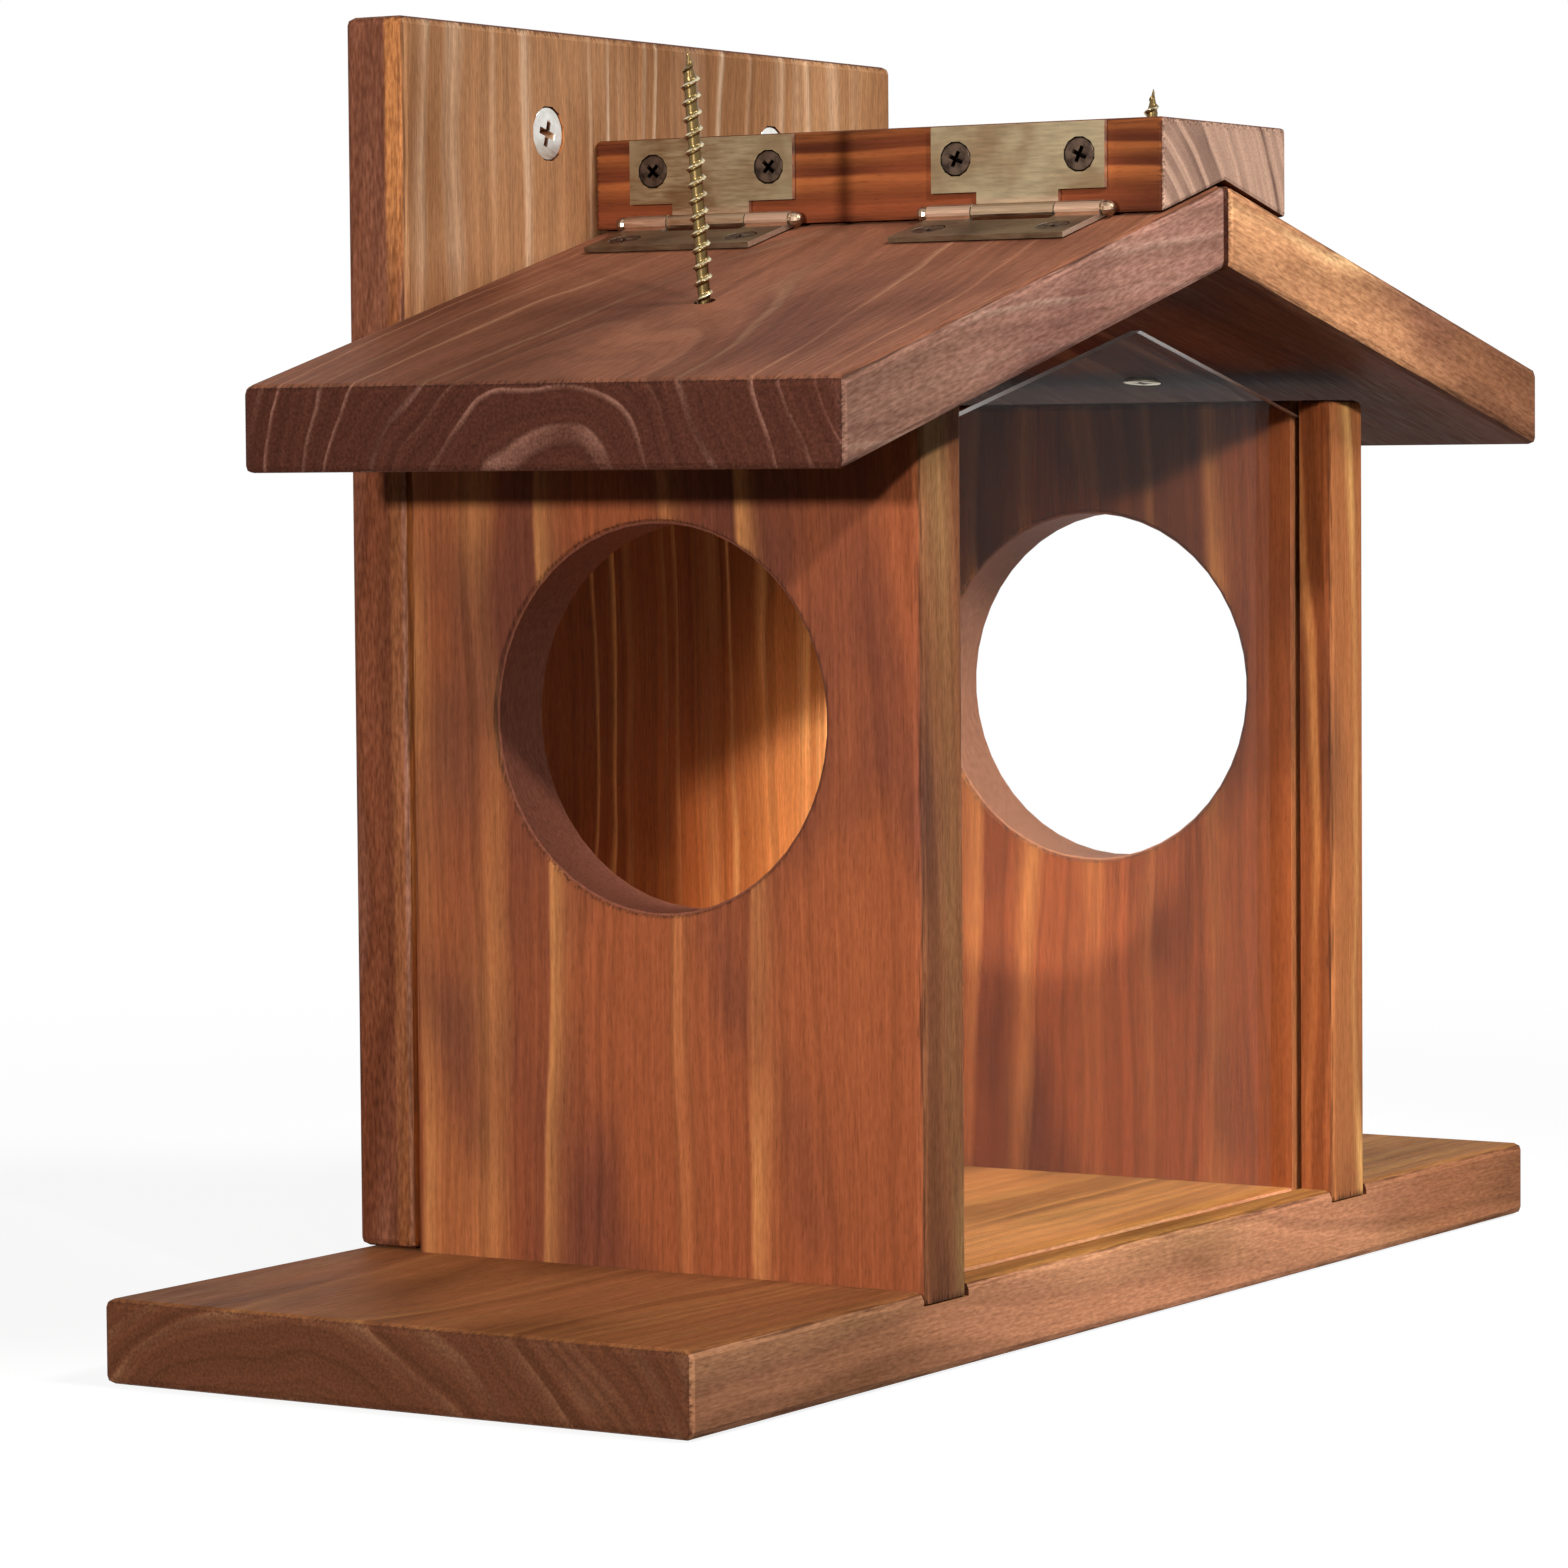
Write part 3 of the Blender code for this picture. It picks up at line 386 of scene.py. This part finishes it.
    dull, polished = wood["roughness"]
    roughness = addNode(tree, "MapRange", {**noiseSpan, 3: dull, 4: polished}, {0: textures["fibre"]})
    settings = {"operation": "MULTIPLY_ADD", 1: wood["fibreHeight"]}
    height = addNode(tree, "Math", settings, {0: textures["fibre"], 2: rings})
    height = addNode(tree, "Math", {"operation": "MULTIPLY_ADD"}, {0: textures["speck"], 1: sawn, 2: height})
    settings = {"Strength": wood["bumpStrength"], "Distance": wood["bump"] * mm}
    bump = addNode(tree, "Bump", settings, {"Height": height})
    links = {"Base Color": colour, "Roughness": roughness, "Normal": bump}
    shader = addNode(tree, "BsdfPrincipled", wood["gloss"], links)
    addNode(tree, "OutputMaterial", {}, {"Surface": shader})
    return material


for node, look in boards.items():
    setMaterial(nodes[node], scorchedFir(node, look))
print("boards stained:", len(boards))


# Window

# "turn" is how squarely a surface looks along Y before it counts as the sheet's polished face
window = {"colour": "ffffff", "ior": 1.08, "rim": "aca6a0", "rimRoughness": 0.5, "turn": (0.5, 0.8),
          "shade": (0.97, 0.97, 0.97, 1.0)}


def castAcrylic(look):
    # cast acrylic sheet, polished, with a sawn rim that catches the light; lamps shine through it
    material, tree = newMaterial("cast acrylic sheet, polished")
    normal = addNode(tree, "TexCoord", {}, {}, 1)
    turned = addNode(tree, "VectorMath", {"operation": "DOT_PRODUCT", 1: (0, 1, 0)}, {0: normal}, 1)
    turned = addNode(tree, "Math", absolute, {0: turned})
    least, most = look["turn"]
    polished = addNode(tree, "MapRange", {1: least, 2: most}, {0: turned})
    roughness = addNode(tree, "MapRange", {3: look["rimRoughness"], 4: 0.0}, {0: polished})
    settings = {**mixed, 6: linear(look["rim"]), 7: linear(look["colour"])}
    colour = addNode(tree, "Mix", settings, {0: polished}, 2)
    settings = {"IOR": look["ior"], "Transmission Weight": 1.0}
    sheet = addNode(tree, "BsdfPrincipled", settings, {"Base Color": colour, "Roughness": roughness})
    clear = addNode(tree, "BsdfTransparent", {"Color": look["shade"]})
    shadow = addNode(tree, "LightPath").node.outputs["Is Shadow Ray"]
    both = addNode(tree, "MixShader", {}, {0: shadow, 1: sheet, 2: clear})
    addNode(tree, "OutputMaterial", {}, {"Surface": both})
    return material


setMaterial(nodes["front_window"], castAcrylic(window))
print("window glazed")


# Metal

# Lengths in mm. "worn" shows in patches, "cut" on faces that look along Y, as bare steel with a painted highlight,
# "tube" on the knuckles, "core" as painted shade between the threads from that reach inwards, and "deep" as
# painted shade in a head's recess, which reaches that far out and down.
metals = {
    "bronzed": {
        "name": "pressed steel, bronze plated", "colour": "9a886a", "worn": "826a4e", "roughness": 0.34,
        "patch": 11, "marks": 0.5, "cut": "f4ecdc", "tube": "ac8e72",
    },
    # the lid's leaves: the same bronze plating painted darker, a painted dark reflection of what the flat leaves face
    "bronzedPaintedDark": {
        "name": "pressed steel, bronze plated and handled", "colour": "806a52", "worn": "5e4936", "roughness": 0.4,
        "patch": 8, "marks": 0.5, "cut": "e4d8c4", "tube": "c09a80",
    },
    "pin": {
        "name": "drawn steel wire, bronze plated", "colour": "ac927a", "worn": "80644e", "roughness": 0.32,
        "patch": 4, "marks": 0.4,
    },
    "dark": {
        "name": "cold headed steel, blackened", "colour": "57463a", "worn": "2c221d", "roughness": 0.42,
        "patch": 2.5, "marks": 0.6, "deep": "0e0a08", "recess": (1.9, 1.5),
    },
    "yellowZinc": {
        "name": "rolled steel, yellow zinc plated", "colour": "dacda8", "worn": "b4a27a", "roughness": 0.3,
        "patch": 1.6, "marks": 0.5, "core": (1.45, "6e5a38"),
    },
    "brightZinc": {
        "name": "rolled steel, bright zinc plated", "colour": "f6f5f0", "worn": "e2e0d8", "roughness": 0.34,
        "patch": 3, "marks": 0.5, "deep": "b48c6c", "recess": (3.2, 2.6),
    },
    "zinc": {
        "name": "rolled steel, clear zinc plated", "colour": "c6c2b8", "worn": "918c82", "roughness": 0.36,
        "patch": 3, "marks": 0.5,
    },
}
plating = {
    "patchEdges": (0.38, 0.7),       # where a worn patch starts and is full
    "stretch": (1.0, 0.12, 1.0),     # the marks run along Y
    "tubeReach": (3.4, 1.9),         # from the hinges' axis, where the knuckles' colour starts and is full
    "tubeShare": 0.85,
    # faces that look along Y take the sheared edges' colour: bare steel with a painted highlight
    "cutHighlightTurn": (0.6, 0.9),           # how squarely a surface looks along Y before it counts as sheared
    "coreBlend": 0.3,                # over which the core's colour comes in
    "deepStart": (-0.1, -0.4),       # under a head's face, where the recess's colour starts and is full
    "roughnessSpan": (-0.06, 0.1),   # how the marks change the roughness
    "bump": {"Strength": 0.12, "Distance": 0.05 * mm},
}


def platedSteel(look):
    # plated steel: a metal sheen with dull patches and fine marks from forming
    material, tree = newMaterial(look["name"])
    coords = addNode(tree, "TexCoord").node.outputs
    point = coords["Object"]
    patch = addNode(tree, "TexNoise", {"Scale": 1 / (look["patch"] * mm), "Detail": 3.0}, {"Vector": point})
    start, full = plating["patchEdges"]
    patch = addNode(tree, "MapRange", {**smooth, 1: start, 2: full}, {0: patch})
    marks = addNode(tree, "VectorMath", {**times, 1: plating["stretch"]}, {0: point})
    marks = addNode(tree, "TexNoise", {"Scale": 1 / (look["marks"] * mm), "Detail": 2.0}, {"Vector": marks})
    settings = {**mixed, 6: linear(look["colour"]), 7: linear(look["worn"])}
    colour = addNode(tree, "Mix", settings, {0: patch}, 2)
    if "tube" in look:
        # the rolled knuckles lost some plating, so the copper under it shows; the sheared edges are bare steel with a
        # painted highlight
        offset = addNode(tree, "VectorMath", {**minus, 1: axis * mm}, {0: point})
        offset = addNode(tree, "VectorMath", {**times, 1: (1, 0, 1)}, {0: offset})
        offset = addNode(tree, "VectorMath", {"operation": "LENGTH"}, {0: offset}, 1)
        far, near = plating["tubeReach"]
        tube = addNode(tree, "MapRange", {**smooth, 1: far * mm, 2: near * mm, 4: plating["tubeShare"]}, {0: offset})
        colour = addNode(tree, "Mix", {**mixed, 7: linear(look["tube"])}, {0: tube, 6: colour}, 2)
        turned = addNode(tree, "VectorMath", {"operation": "DOT_PRODUCT", 1: (0, 1, 0)}, {0: coords["Normal"]}, 1)
        turned = addNode(tree, "Math", absolute, {0: turned})
        least, most = plating["cutHighlightTurn"]
        turned = addNode(tree, "MapRange", {1: least, 2: most}, {0: turned})
        colour = addNode(tree, "Mix", {**mixed, 7: linear(look["cut"])}, {0: turned, 6: colour}, 2)
    across = addNode(tree, "VectorMath", {**times, 1: (1, 1, 0)}, {0: point})
    across = addNode(tree, "VectorMath", {"operation": "LENGTH"}, {0: across}, 1)
    if "core" in look:
        # painted shade between the threads
        reach, tone = look["core"]
        core = addNode(tree, "MapRange", {1: reach * mm, 2: (reach - plating["coreBlend"]) * mm}, {0: across})
        colour = addNode(tree, "Mix", {**mixed, 7: linear(tone)}, {0: core, 6: colour}, 2)
    if "deep" in look:
        # painted shade in the driver's recess
        (out, down), (start, full) = look["recess"], plating["deepStart"]
        height = addNode(tree, "SeparateXYZ", {}, {0: point}, 2)
        under = addNode(tree, "MapRange", {1: start * mm, 2: full * mm}, {0: height})
        inside = addNode(tree, "Math", {"operation": "LESS_THAN", 1: out * mm}, {0: across})
        shallow = addNode(tree, "Math", {"operation": "GREATER_THAN", 1: -down * mm}, {0: height})
        for part in (inside, shallow):
            under = addNode(tree, "Math", times, {0: under, 1: part})
        colour = addNode(tree, "Mix", {**mixed, 7: linear(look["deep"])}, {0: under, 6: colour}, 2)
    smoother, rougher = [look["roughness"] + change for change in plating["roughnessSpan"]]
    roughness = addNode(tree, "MapRange", {**noiseSpan, 3: smoother, 4: rougher}, {0: marks})
    bump = addNode(tree, "Bump", plating["bump"], {"Height": marks})
    links = {"Base Color": colour, "Roughness": roughness, "Normal": bump}
    shader = addNode(tree, "BsdfPrincipled", {"Metallic": 1.0}, links)
    addNode(tree, "OutputMaterial", {}, {"Surface": shader})
    return material


axis = Vector((-26.4, 0, 205.393))   # of the hinges, in mm
finishes = {key: platedSteel(look) for key, look in metals.items()}

for place in ("front", "rear"):
    setMaterial(nodes[place + "_hinge_block_leaf"], finishes["bronzed"])
    setMaterial(nodes[place + "_hinge_lid_leaf"], finishes["bronzedPaintedDark"])
    setMaterial(nodes[place + "_hinge_pin"], finishes["pin"])
print("hinges plated")


# Screws

# Diameters and lengths in mm. The recess is a cross for a driver: its reach, its arms' width and its depth.
screwKinds = {
    "hinge": {
        "head": 6.0, "core": 1.7, "thread": 2.6, "pitch": 1.2, "length": 12.0, "plain": 4.0, "tip": 3.0,
        "recess": (3.2, 0.8, 1.3), "sides": 24, "finish": "dark", "slot": "dark_steel",
    },
    "board": {
        "head": 7.0, "core": 2.2, "thread": 3.4, "pitch": 1.6, "length": 35.0, "plain": 12.0, "tip": 5.0,
        "recess": (4.0, 1.0, 1.8), "sides": 24, "finish": "zinc", "slot": "zinc_steel",
    },
    "ridge": {
        "head": 7.0, "core": 2.2, "thread": 3.4, "pitch": 1.6, "length": 25.0, "plain": 12.0, "tip": 5.0,
        "recess": (4.0, 1.0, 1.8), "sides": 24, "finish": "zinc", "slot": "zinc_steel",
    },
    "wall": {
        "head": 10.0, "core": 3.0, "thread": 4.5, "pitch": 2.8, "length": 40.0, "plain": 13.0, "tip": 4.5,
        "recess": (5.2, 1.3, 2.4), "sides": 32, "finish": "brightZinc", "slot": "wall_screw_zinc",
    },
    "cob": {
        "head": 7.6, "core": 2.2, "thread": 3.6, "pitch": 2.9, "length": 60.0, "plain": 15.0, "tip": 5.0,
        "recess": (4.2, 1.0, 1.8), "sides": 24, "finish": "yellowZinc", "slot": "cob_screw_zinc",
    },
}
screwShape = {
    "steps": 16,              # rings per turn of a thread
    "chamfer": (0.12, 0.1),   # of the head's edge, in and down, in mm
    "rim": 0.3,               # height of the head over its cone, in mm
    "flank": 0.17,            # half the thread's width, in pitches
    "flankCurve": 0.8,
    "point": 0.1,             # length of the plain point, in tips
    "blunt": 0.02,            # least width where the tip ends
}
recessShape = {"above": 0.5, "taper": 0.4, "armTaper": 0.7}   # start over the face in mm, and how it narrows


def crossCutter(recess):
    # a cross that narrows with depth, for cutting the driver's recess
    reach, width, depth = [v * mm for v in recess]
    shape = bmesh.new()
    rings = []
    for height, share in ((recessShape["above"] * mm, 1.0), (0.0, 1.0), (-depth, recessShape["taper"])):
        a, b = reach / 2 * share, width / 2 * max(share, recessShape["armTaper"])
        outline = [(a, b), (b, b), (b, a), (-b, a), (-b, b), (-a, b)]
        outline += [(-x, -y) for x, y in outline]
        rings.append([shape.verts.new((x, y, height)) for x, y in outline])
    for upper, lower in zip(rings, rings[1:]):
        for k in range(len(upper)):
            shape.faces.new([upper[k], upper[k - 1], lower[k - 1], lower[k]])
    shape.faces.new(rings[0])
    shape.faces.new(list(reversed(rings[-1])))
    bmesh.ops.recalc_face_normals(shape, faces=shape.faces)
    mesh = bpy.data.meshes.new("recess")
    shape.to_mesh(mesh)
    shape.free()
    return addObject("recess", mesh)


def screwMesh(kind):
    # head up along +Z with its face at height zero, a helical thread below, a cross recess on top
    look = screwKinds[kind]
    sides, steps, rim = look["sides"], screwShape["steps"], screwShape["rim"]
    head, core, crest = look["head"] / 2, look["core"] / 2, look["thread"] / 2
    length, pitch, tip = look["length"], look["pitch"], look["tip"]
    shape = bmesh.new()

    def ring(radii, height):
        turns = [math.tau * k / sides for k in range(sides)]
        spots = [(r * mm * math.cos(t), r * mm * math.sin(t), height * mm) for r, t in zip(radii, turns)]
        return [shape.verts.new(spot) for spot in spots]

    cone = head - core
    inward, down = screwShape["chamfer"]
    edge = [(head - inward, 0.0), (head, -down), (head, -rim)]
    neck = [(core + cone * 0.5, -rim - cone * 0.5), (core, -rim - cone)]
    rings = [ring([radius] * sides, height) for radius, height in edge + neck]
    step = pitch / steps
    start = look["plain"]
    rows = int((length - start - screwShape["point"] * tip) / step)
    for row in range(rows + 1):
        depth = start + row * step
        taper = min(1.0, (length - depth) / tip + screwShape["blunt"])
        begin = min(1.0, row / steps)
        radii = []
        for k in range(sides):
            phase = (row / steps + k / sides) % 1.0
            away = min(phase, 1.0 - phase)
            ridge = max(0.0, 1.0 - away / screwShape["flank"]) ** screwShape["flankCurve"]
            radii.append((core + (crest - core) * ridge * begin) * taper)
        rings.append(ring(radii, -depth))
    for upper, lower in zip(rings, rings[1:]):
        for k in range(sides):
            shape.faces.new([upper[k], upper[k - 1], lower[k - 1], lower[k]])
    shape.faces.new(rings[0])
    point = shape.verts.new((0, 0, -length * mm))
    for k in range(sides):
        shape.faces.new([rings[-1][k], rings[-1][k - 1], point])
    bmesh.ops.recalc_face_normals(shape, faces=shape.faces)
    mesh = bpy.data.meshes.new(kind + " screw")
    shape.to_mesh(mesh)
    shape.free()
    whole = addObject(kind + " screw", mesh)
    cutter = crossCutter(look["recess"])
    cut = whole.modifiers.new("recess", "BOOLEAN")
    cut.operation, cut.solver, cut.object = "DIFFERENCE", "EXACT", cutter
    bpy.context.view_layer.update()
    done = bpy.data.meshes.new_from_object(whole.evaluated_get(bpy.context.evaluated_depsgraph_get()))
    for spare in (whole, cutter):
        bpy.data.objects.remove(spare)
    done.name = kind + " screw"
    done.shade_smooth()
    done.set_sharp_from_angle(angle=math.radians(38))   # keeps the head's edges crisp and the threads round
    done.materials.clear()
    done.materials.append(finishes[look["finish"]])
    return done


screwMeshes = {kind: screwMesh(kind) for kind in screwKinds}

lidUp = Vector((-math.sin(slopeLid), 0, math.cos(slopeLid)))
lidOut = Vector((-math.cos(slopeLid), 0, -math.sin(slopeLid)))
roof = {"ridge": 210.5, "thickness": 15}   # in mm


def roofTop(x):
    return roof["ridge"] - abs(x) * math.tan(slopeLid if x < 0 else slopeRoof)


def underside(x):
    return roofTop(x) - roof["thickness"] / math.cos(slopeLid if x < 0 else slopeRoof)


# where the screws stand, in mm; X is to the right, and the left side mirrors it
seats = {
    "hinges": {"front": -46.0, "rear": 20.7},          # Y of each hinge's middle
    "hingeOffsets": {1: -13.0, 2: 13.0},               # of its screws, along Y
    "leaf": (0.6, 10),                                 # a leaf's face and its screws, from the hinges' axis
    "wallMiddle": 79.5,                                # X of the middle of the side walls
    "base": {"front": -31.0, "rear": 23.0},            # Y of the screws up into a side wall
    "back": {"low": 44.7, "high": 144.8},              # Z of the screws forward into a side wall
    "rear": 61,                                        # Y of the back board's rear
    "foot": (40, 54.5, 0),
    "block": (8, 61, 216.1),
    "wall": (39.8, 48.3, 222.5),
    "cob": (80.5, -14),                                # X and Y of the corn cob screws' heads
    "cobGap": 0.4,                                     # their heads stand this far under the roof
    "roof": {"inner": 35, "outer": 74},                # X of the screws forward into the fixed roof board
    "ridge": {"front": -40.5, "rear": 17.7},           # Y of the screws up into the block
    "ridgeX": 12,
}
cobLean = math.radians(6)   # the corn cob screws lean outwards
spinStep, quarter = 17, 90  # each recess is turned its own way, in degrees

# each screw: kind, centre of its head in mm, the way its head faces, the body it rides on
screws = {}
leafFace, leafReach = seats["leaf"]
for place, y in seats["hinges"].items():
    for index, offset in seats["hingeOffsets"].items():
        seat = axis + Vector((leafFace, y + offset, leafReach))
        screws[f"{place}_hinge_block_screw_{index}"] = ("hinge", seat, (-1, 0, 0), "house")
        seat = axis + lidOut * leafReach - lidUp * leafFace + Vector((0, y + offset, 0))
        screws[f"{place}_hinge_lid_screw_{index}"] = ("hinge", seat, lidUp, "lid")
for side, sign in (("left", -1), ("right", 1)):
    for place, y in seats["base"].items():
        screws[f"{side}_base_screw_{place}"] = ("board", (sign * seats["wallMiddle"], y, 0), (0, 0, -1), "house")
    for place, z in seats["back"].items():
        seat = (sign * seats["wallMiddle"], seats["rear"], z)
        screws[f"{side}_back_screw_{place}"] = ("board", seat, (0, 1, 0), "house")
    singles = {"foot": ("board", (0, 0, -1)), "block": ("board", (0, 1, 0)), "wall": ("wall", (0, -1, 0))}
    for name, (kind, facing) in singles.items():
        x, y, z = seats[name]
        screws[f"{side}_{name}_screw"] = (kind, (sign * x, y, z), facing, "house")
    x, y = seats["cob"]
    seat = (sign * x, y, underside(sign * x) - seats["cobGap"])
    facing = (-sign * math.sin(cobLean), 0, -math.cos(cobLean))
    screws[f"{side}_cob_screw"] = ("cob", seat, facing, "lid" if sign < 0 else "house")
for place, x in seats["roof"].items():
    screws[f"roof_screw_{place}"] = ("board", (x, seats["rear"], (roofTop(x) + underside(x)) / 2), (0, 1, 0), "house")
for place, y in seats["ridge"].items():
    seat = (seats["ridgeX"], y, underside(seats["ridgeX"]))
    screws[f"ridge_screw_{place}"] = ("ridge", seat, (0, 0, -1), "house")

for name, (kind, seat, facing, body) in screws.items():
    screw = addObject(name + "_driven", screwMeshes[kind])
    turn = Vector(facing).to_track_quat("Z", "Y").to_matrix().to_4x4()
    spin = Matrix.Rotation(math.radians(spinStep * len(name) % quarter), 4, "Z")
    screw.matrix_world = Matrix.Translation(Vector(seat) * mm) @ turn @ spin
    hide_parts(name)
    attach(screw, body)
print("screws driven:", len(screws))


# Camera

# place in metres, angles in degrees, lens and sensor in mm
view = {"place": (-0.9314, -0.5600, 0.1586), "yaw": -58.026, "pitch": -3.184, "roll": -0.46, "lens": 129.92,
        "sensor": 36, "clip": (0.02, 50)}

yaw, pitch, roll = [math.radians(view[key]) for key in ("yaw", "pitch", "roll")]
ahead = Vector((-math.sin(yaw) * math.cos(pitch), math.cos(yaw) * math.cos(pitch), math.sin(pitch)))
right = ahead.cross(Vector((0, 0, 1))).normalized()
up = right.cross(ahead)
rolledRight = right * math.cos(roll) + up * math.sin(roll)
rolledUp = up * math.cos(roll) - right * math.sin(roll)
camera = addObject("camera", bpy.data.cameras.new("camera"))
camera.data.lens, camera.data.sensor_width = view["lens"], view["sensor"]
camera.data.clip_start, camera.data.clip_end = view["clip"]
turn = Matrix((rolledRight, rolledUp, -ahead)).transposed().to_4x4()
camera.matrix_world = Matrix.Translation(view["place"]) @ turn
bpy.context.scene.camera = camera


# Light, floor and background

studio = {
    "ambient": 0.13,                # world light on the object
    "lamps": {
        # where each lamp aims, the way it shines, its width and distance in metres, its share of a full light,
        # and for a beam its half width at the object
        "key": {"aim": (0.0, -0.085, 0.115), "shines": (1.0, 1.3, -0.89), "width": 0.09, "distance": 1.9,
                "share": 1.15, "beam": 0.17},
        "front": {"aim": (0.0, 0.0, 0.11), "shines": (0.0, 1.0, -1.1), "width": 0.5, "distance": 2.0, "share": 0.55},
        "side": {"aim": (0.0, 0.0, 0.11), "shines": (1.0, 0.1, -0.145), "width": 0.09, "distance": 1.9, "share": 0.8},
    },
    # the floor's colour as seen, how much it glows by itself, and its colour for the light that it bounces
    "floor": {"shown": "808080", "glow": 0.87, "bounced": "707070"},
    "floorFade": (0.3, 0.7),        # where the floor turns from lit to plain white, in metres
    "floorSize": 12,
    "floorHeight": -0.0003,
}

for name, lamp in studio["lamps"].items():
    beam = "beam" in lamp
    data = bpy.data.lights.new(name, "SPOT" if beam else "AREA")
    # at a full share, a white face turned to the lamp comes out white
    power = math.pi ** 2 * lamp["distance"] ** 2 * lamp["share"]
    if beam:
        data.spot_size, data.spot_blend = 2 * math.atan(lamp["beam"] / lamp["distance"]), 1.0
        # a spot's power counts for the whole sphere round it, so it takes four times an area lamp's
        data.shadow_soft_size, data.energy = lamp["width"] / 2, power * 4
    else:
        data.shape, data.size, data.energy = "DISK", lamp["width"], power
    light = addObject(name, data)
    shines = Vector(lamp["shines"]).normalized()
    light.location = Vector(lamp["aim"]) - shines * lamp["distance"]
    light.rotation_euler = shines.to_track_quat("-Z", "Y").to_euler()


def seenDirectly(tree):
    # one for the rays that show the background, by eye, mirror or glass, but not for those that gather light on
    # the boards behind the window
    path = addNode(tree, "LightPath").node.outputs
    seen = addNode(tree, "Math", {"operation": "MAXIMUM"}, {0: path["Is Camera Ray"], 1: path["Is Glossy Ray"]})
    seen = addNode(tree, "Math", {"operation": "MAXIMUM"}, {0: seen, 1: path["Is Transmission Ray"]})
    early = addNode(tree, "Math", {"operation": "LESS_THAN", 1: 0.5}, {0: path["Diffuse Depth"]})
    return addNode(tree, "Math", times, {0: seen, 1: early})


world = bpy.data.worlds.new("studio")
world.use_nodes = True
tree = world.node_tree
tree.nodes.clear()
lit = addNode(tree, "Background", {"Color": (1, 1, 1, 1), "Strength": studio["ambient"]})
white = addNode(tree, "Background", {"Color": (1, 1, 1, 1), "Strength": 1.0})
both = addNode(tree, "MixShader", {}, {0: seenDirectly(tree), 1: lit, 2: white})
addNode(tree, "OutputWorld", {}, {"Surface": both})
bpy.context.scene.world = world

# paper sweep: matt, white to the eye, and greyer for the light that it throws up on the object
material, tree = newMaterial("paper sweep, matt white")
away = addNode(tree, "VectorMath", {"operation": "LENGTH"}, {0: addNode(tree, "TexCoord", {}, {}, 3)}, 1)
near, far = studio["floorFade"]
faded = addNode(tree, "MapRange", {**smooth, 1: near, 2: far}, {0: away})
bounced = addNode(tree, "BsdfDiffuse", {"Color": linear(studio["floor"]["bounced"])})
shown = addNode(tree, "BsdfDiffuse", {"Color": linear(studio["floor"]["shown"])})
glow = addNode(tree, "Emission", {"Color": (1, 1, 1, 1), "Strength": studio["floor"]["glow"]})
white = addNode(tree, "Emission", {"Color": (1, 1, 1, 1), "Strength": 1.0})
shown = addNode(tree, "AddShader", {}, {0: shown, 1: glow})
shown = addNode(tree, "MixShader", {}, {0: faded, 1: shown, 2: white})
both = addNode(tree, "MixShader", {}, {0: seenDirectly(tree), 1: bounced, 2: shown})
addNode(tree, "OutputMaterial", {}, {"Surface": both})
sheet = bmesh.new()
bmesh.ops.create_grid(sheet, x_segments=2, y_segments=2, size=studio["floorSize"])
mesh = bpy.data.meshes.new("floor")
sheet.to_mesh(mesh)
sheet.free()
mesh.materials.append(material)
floor = addObject("floor", mesh)
floor.location.z = studio["floorHeight"]
bpy.context.scene.view_settings.view_transform = "Standard"
print("studio set")
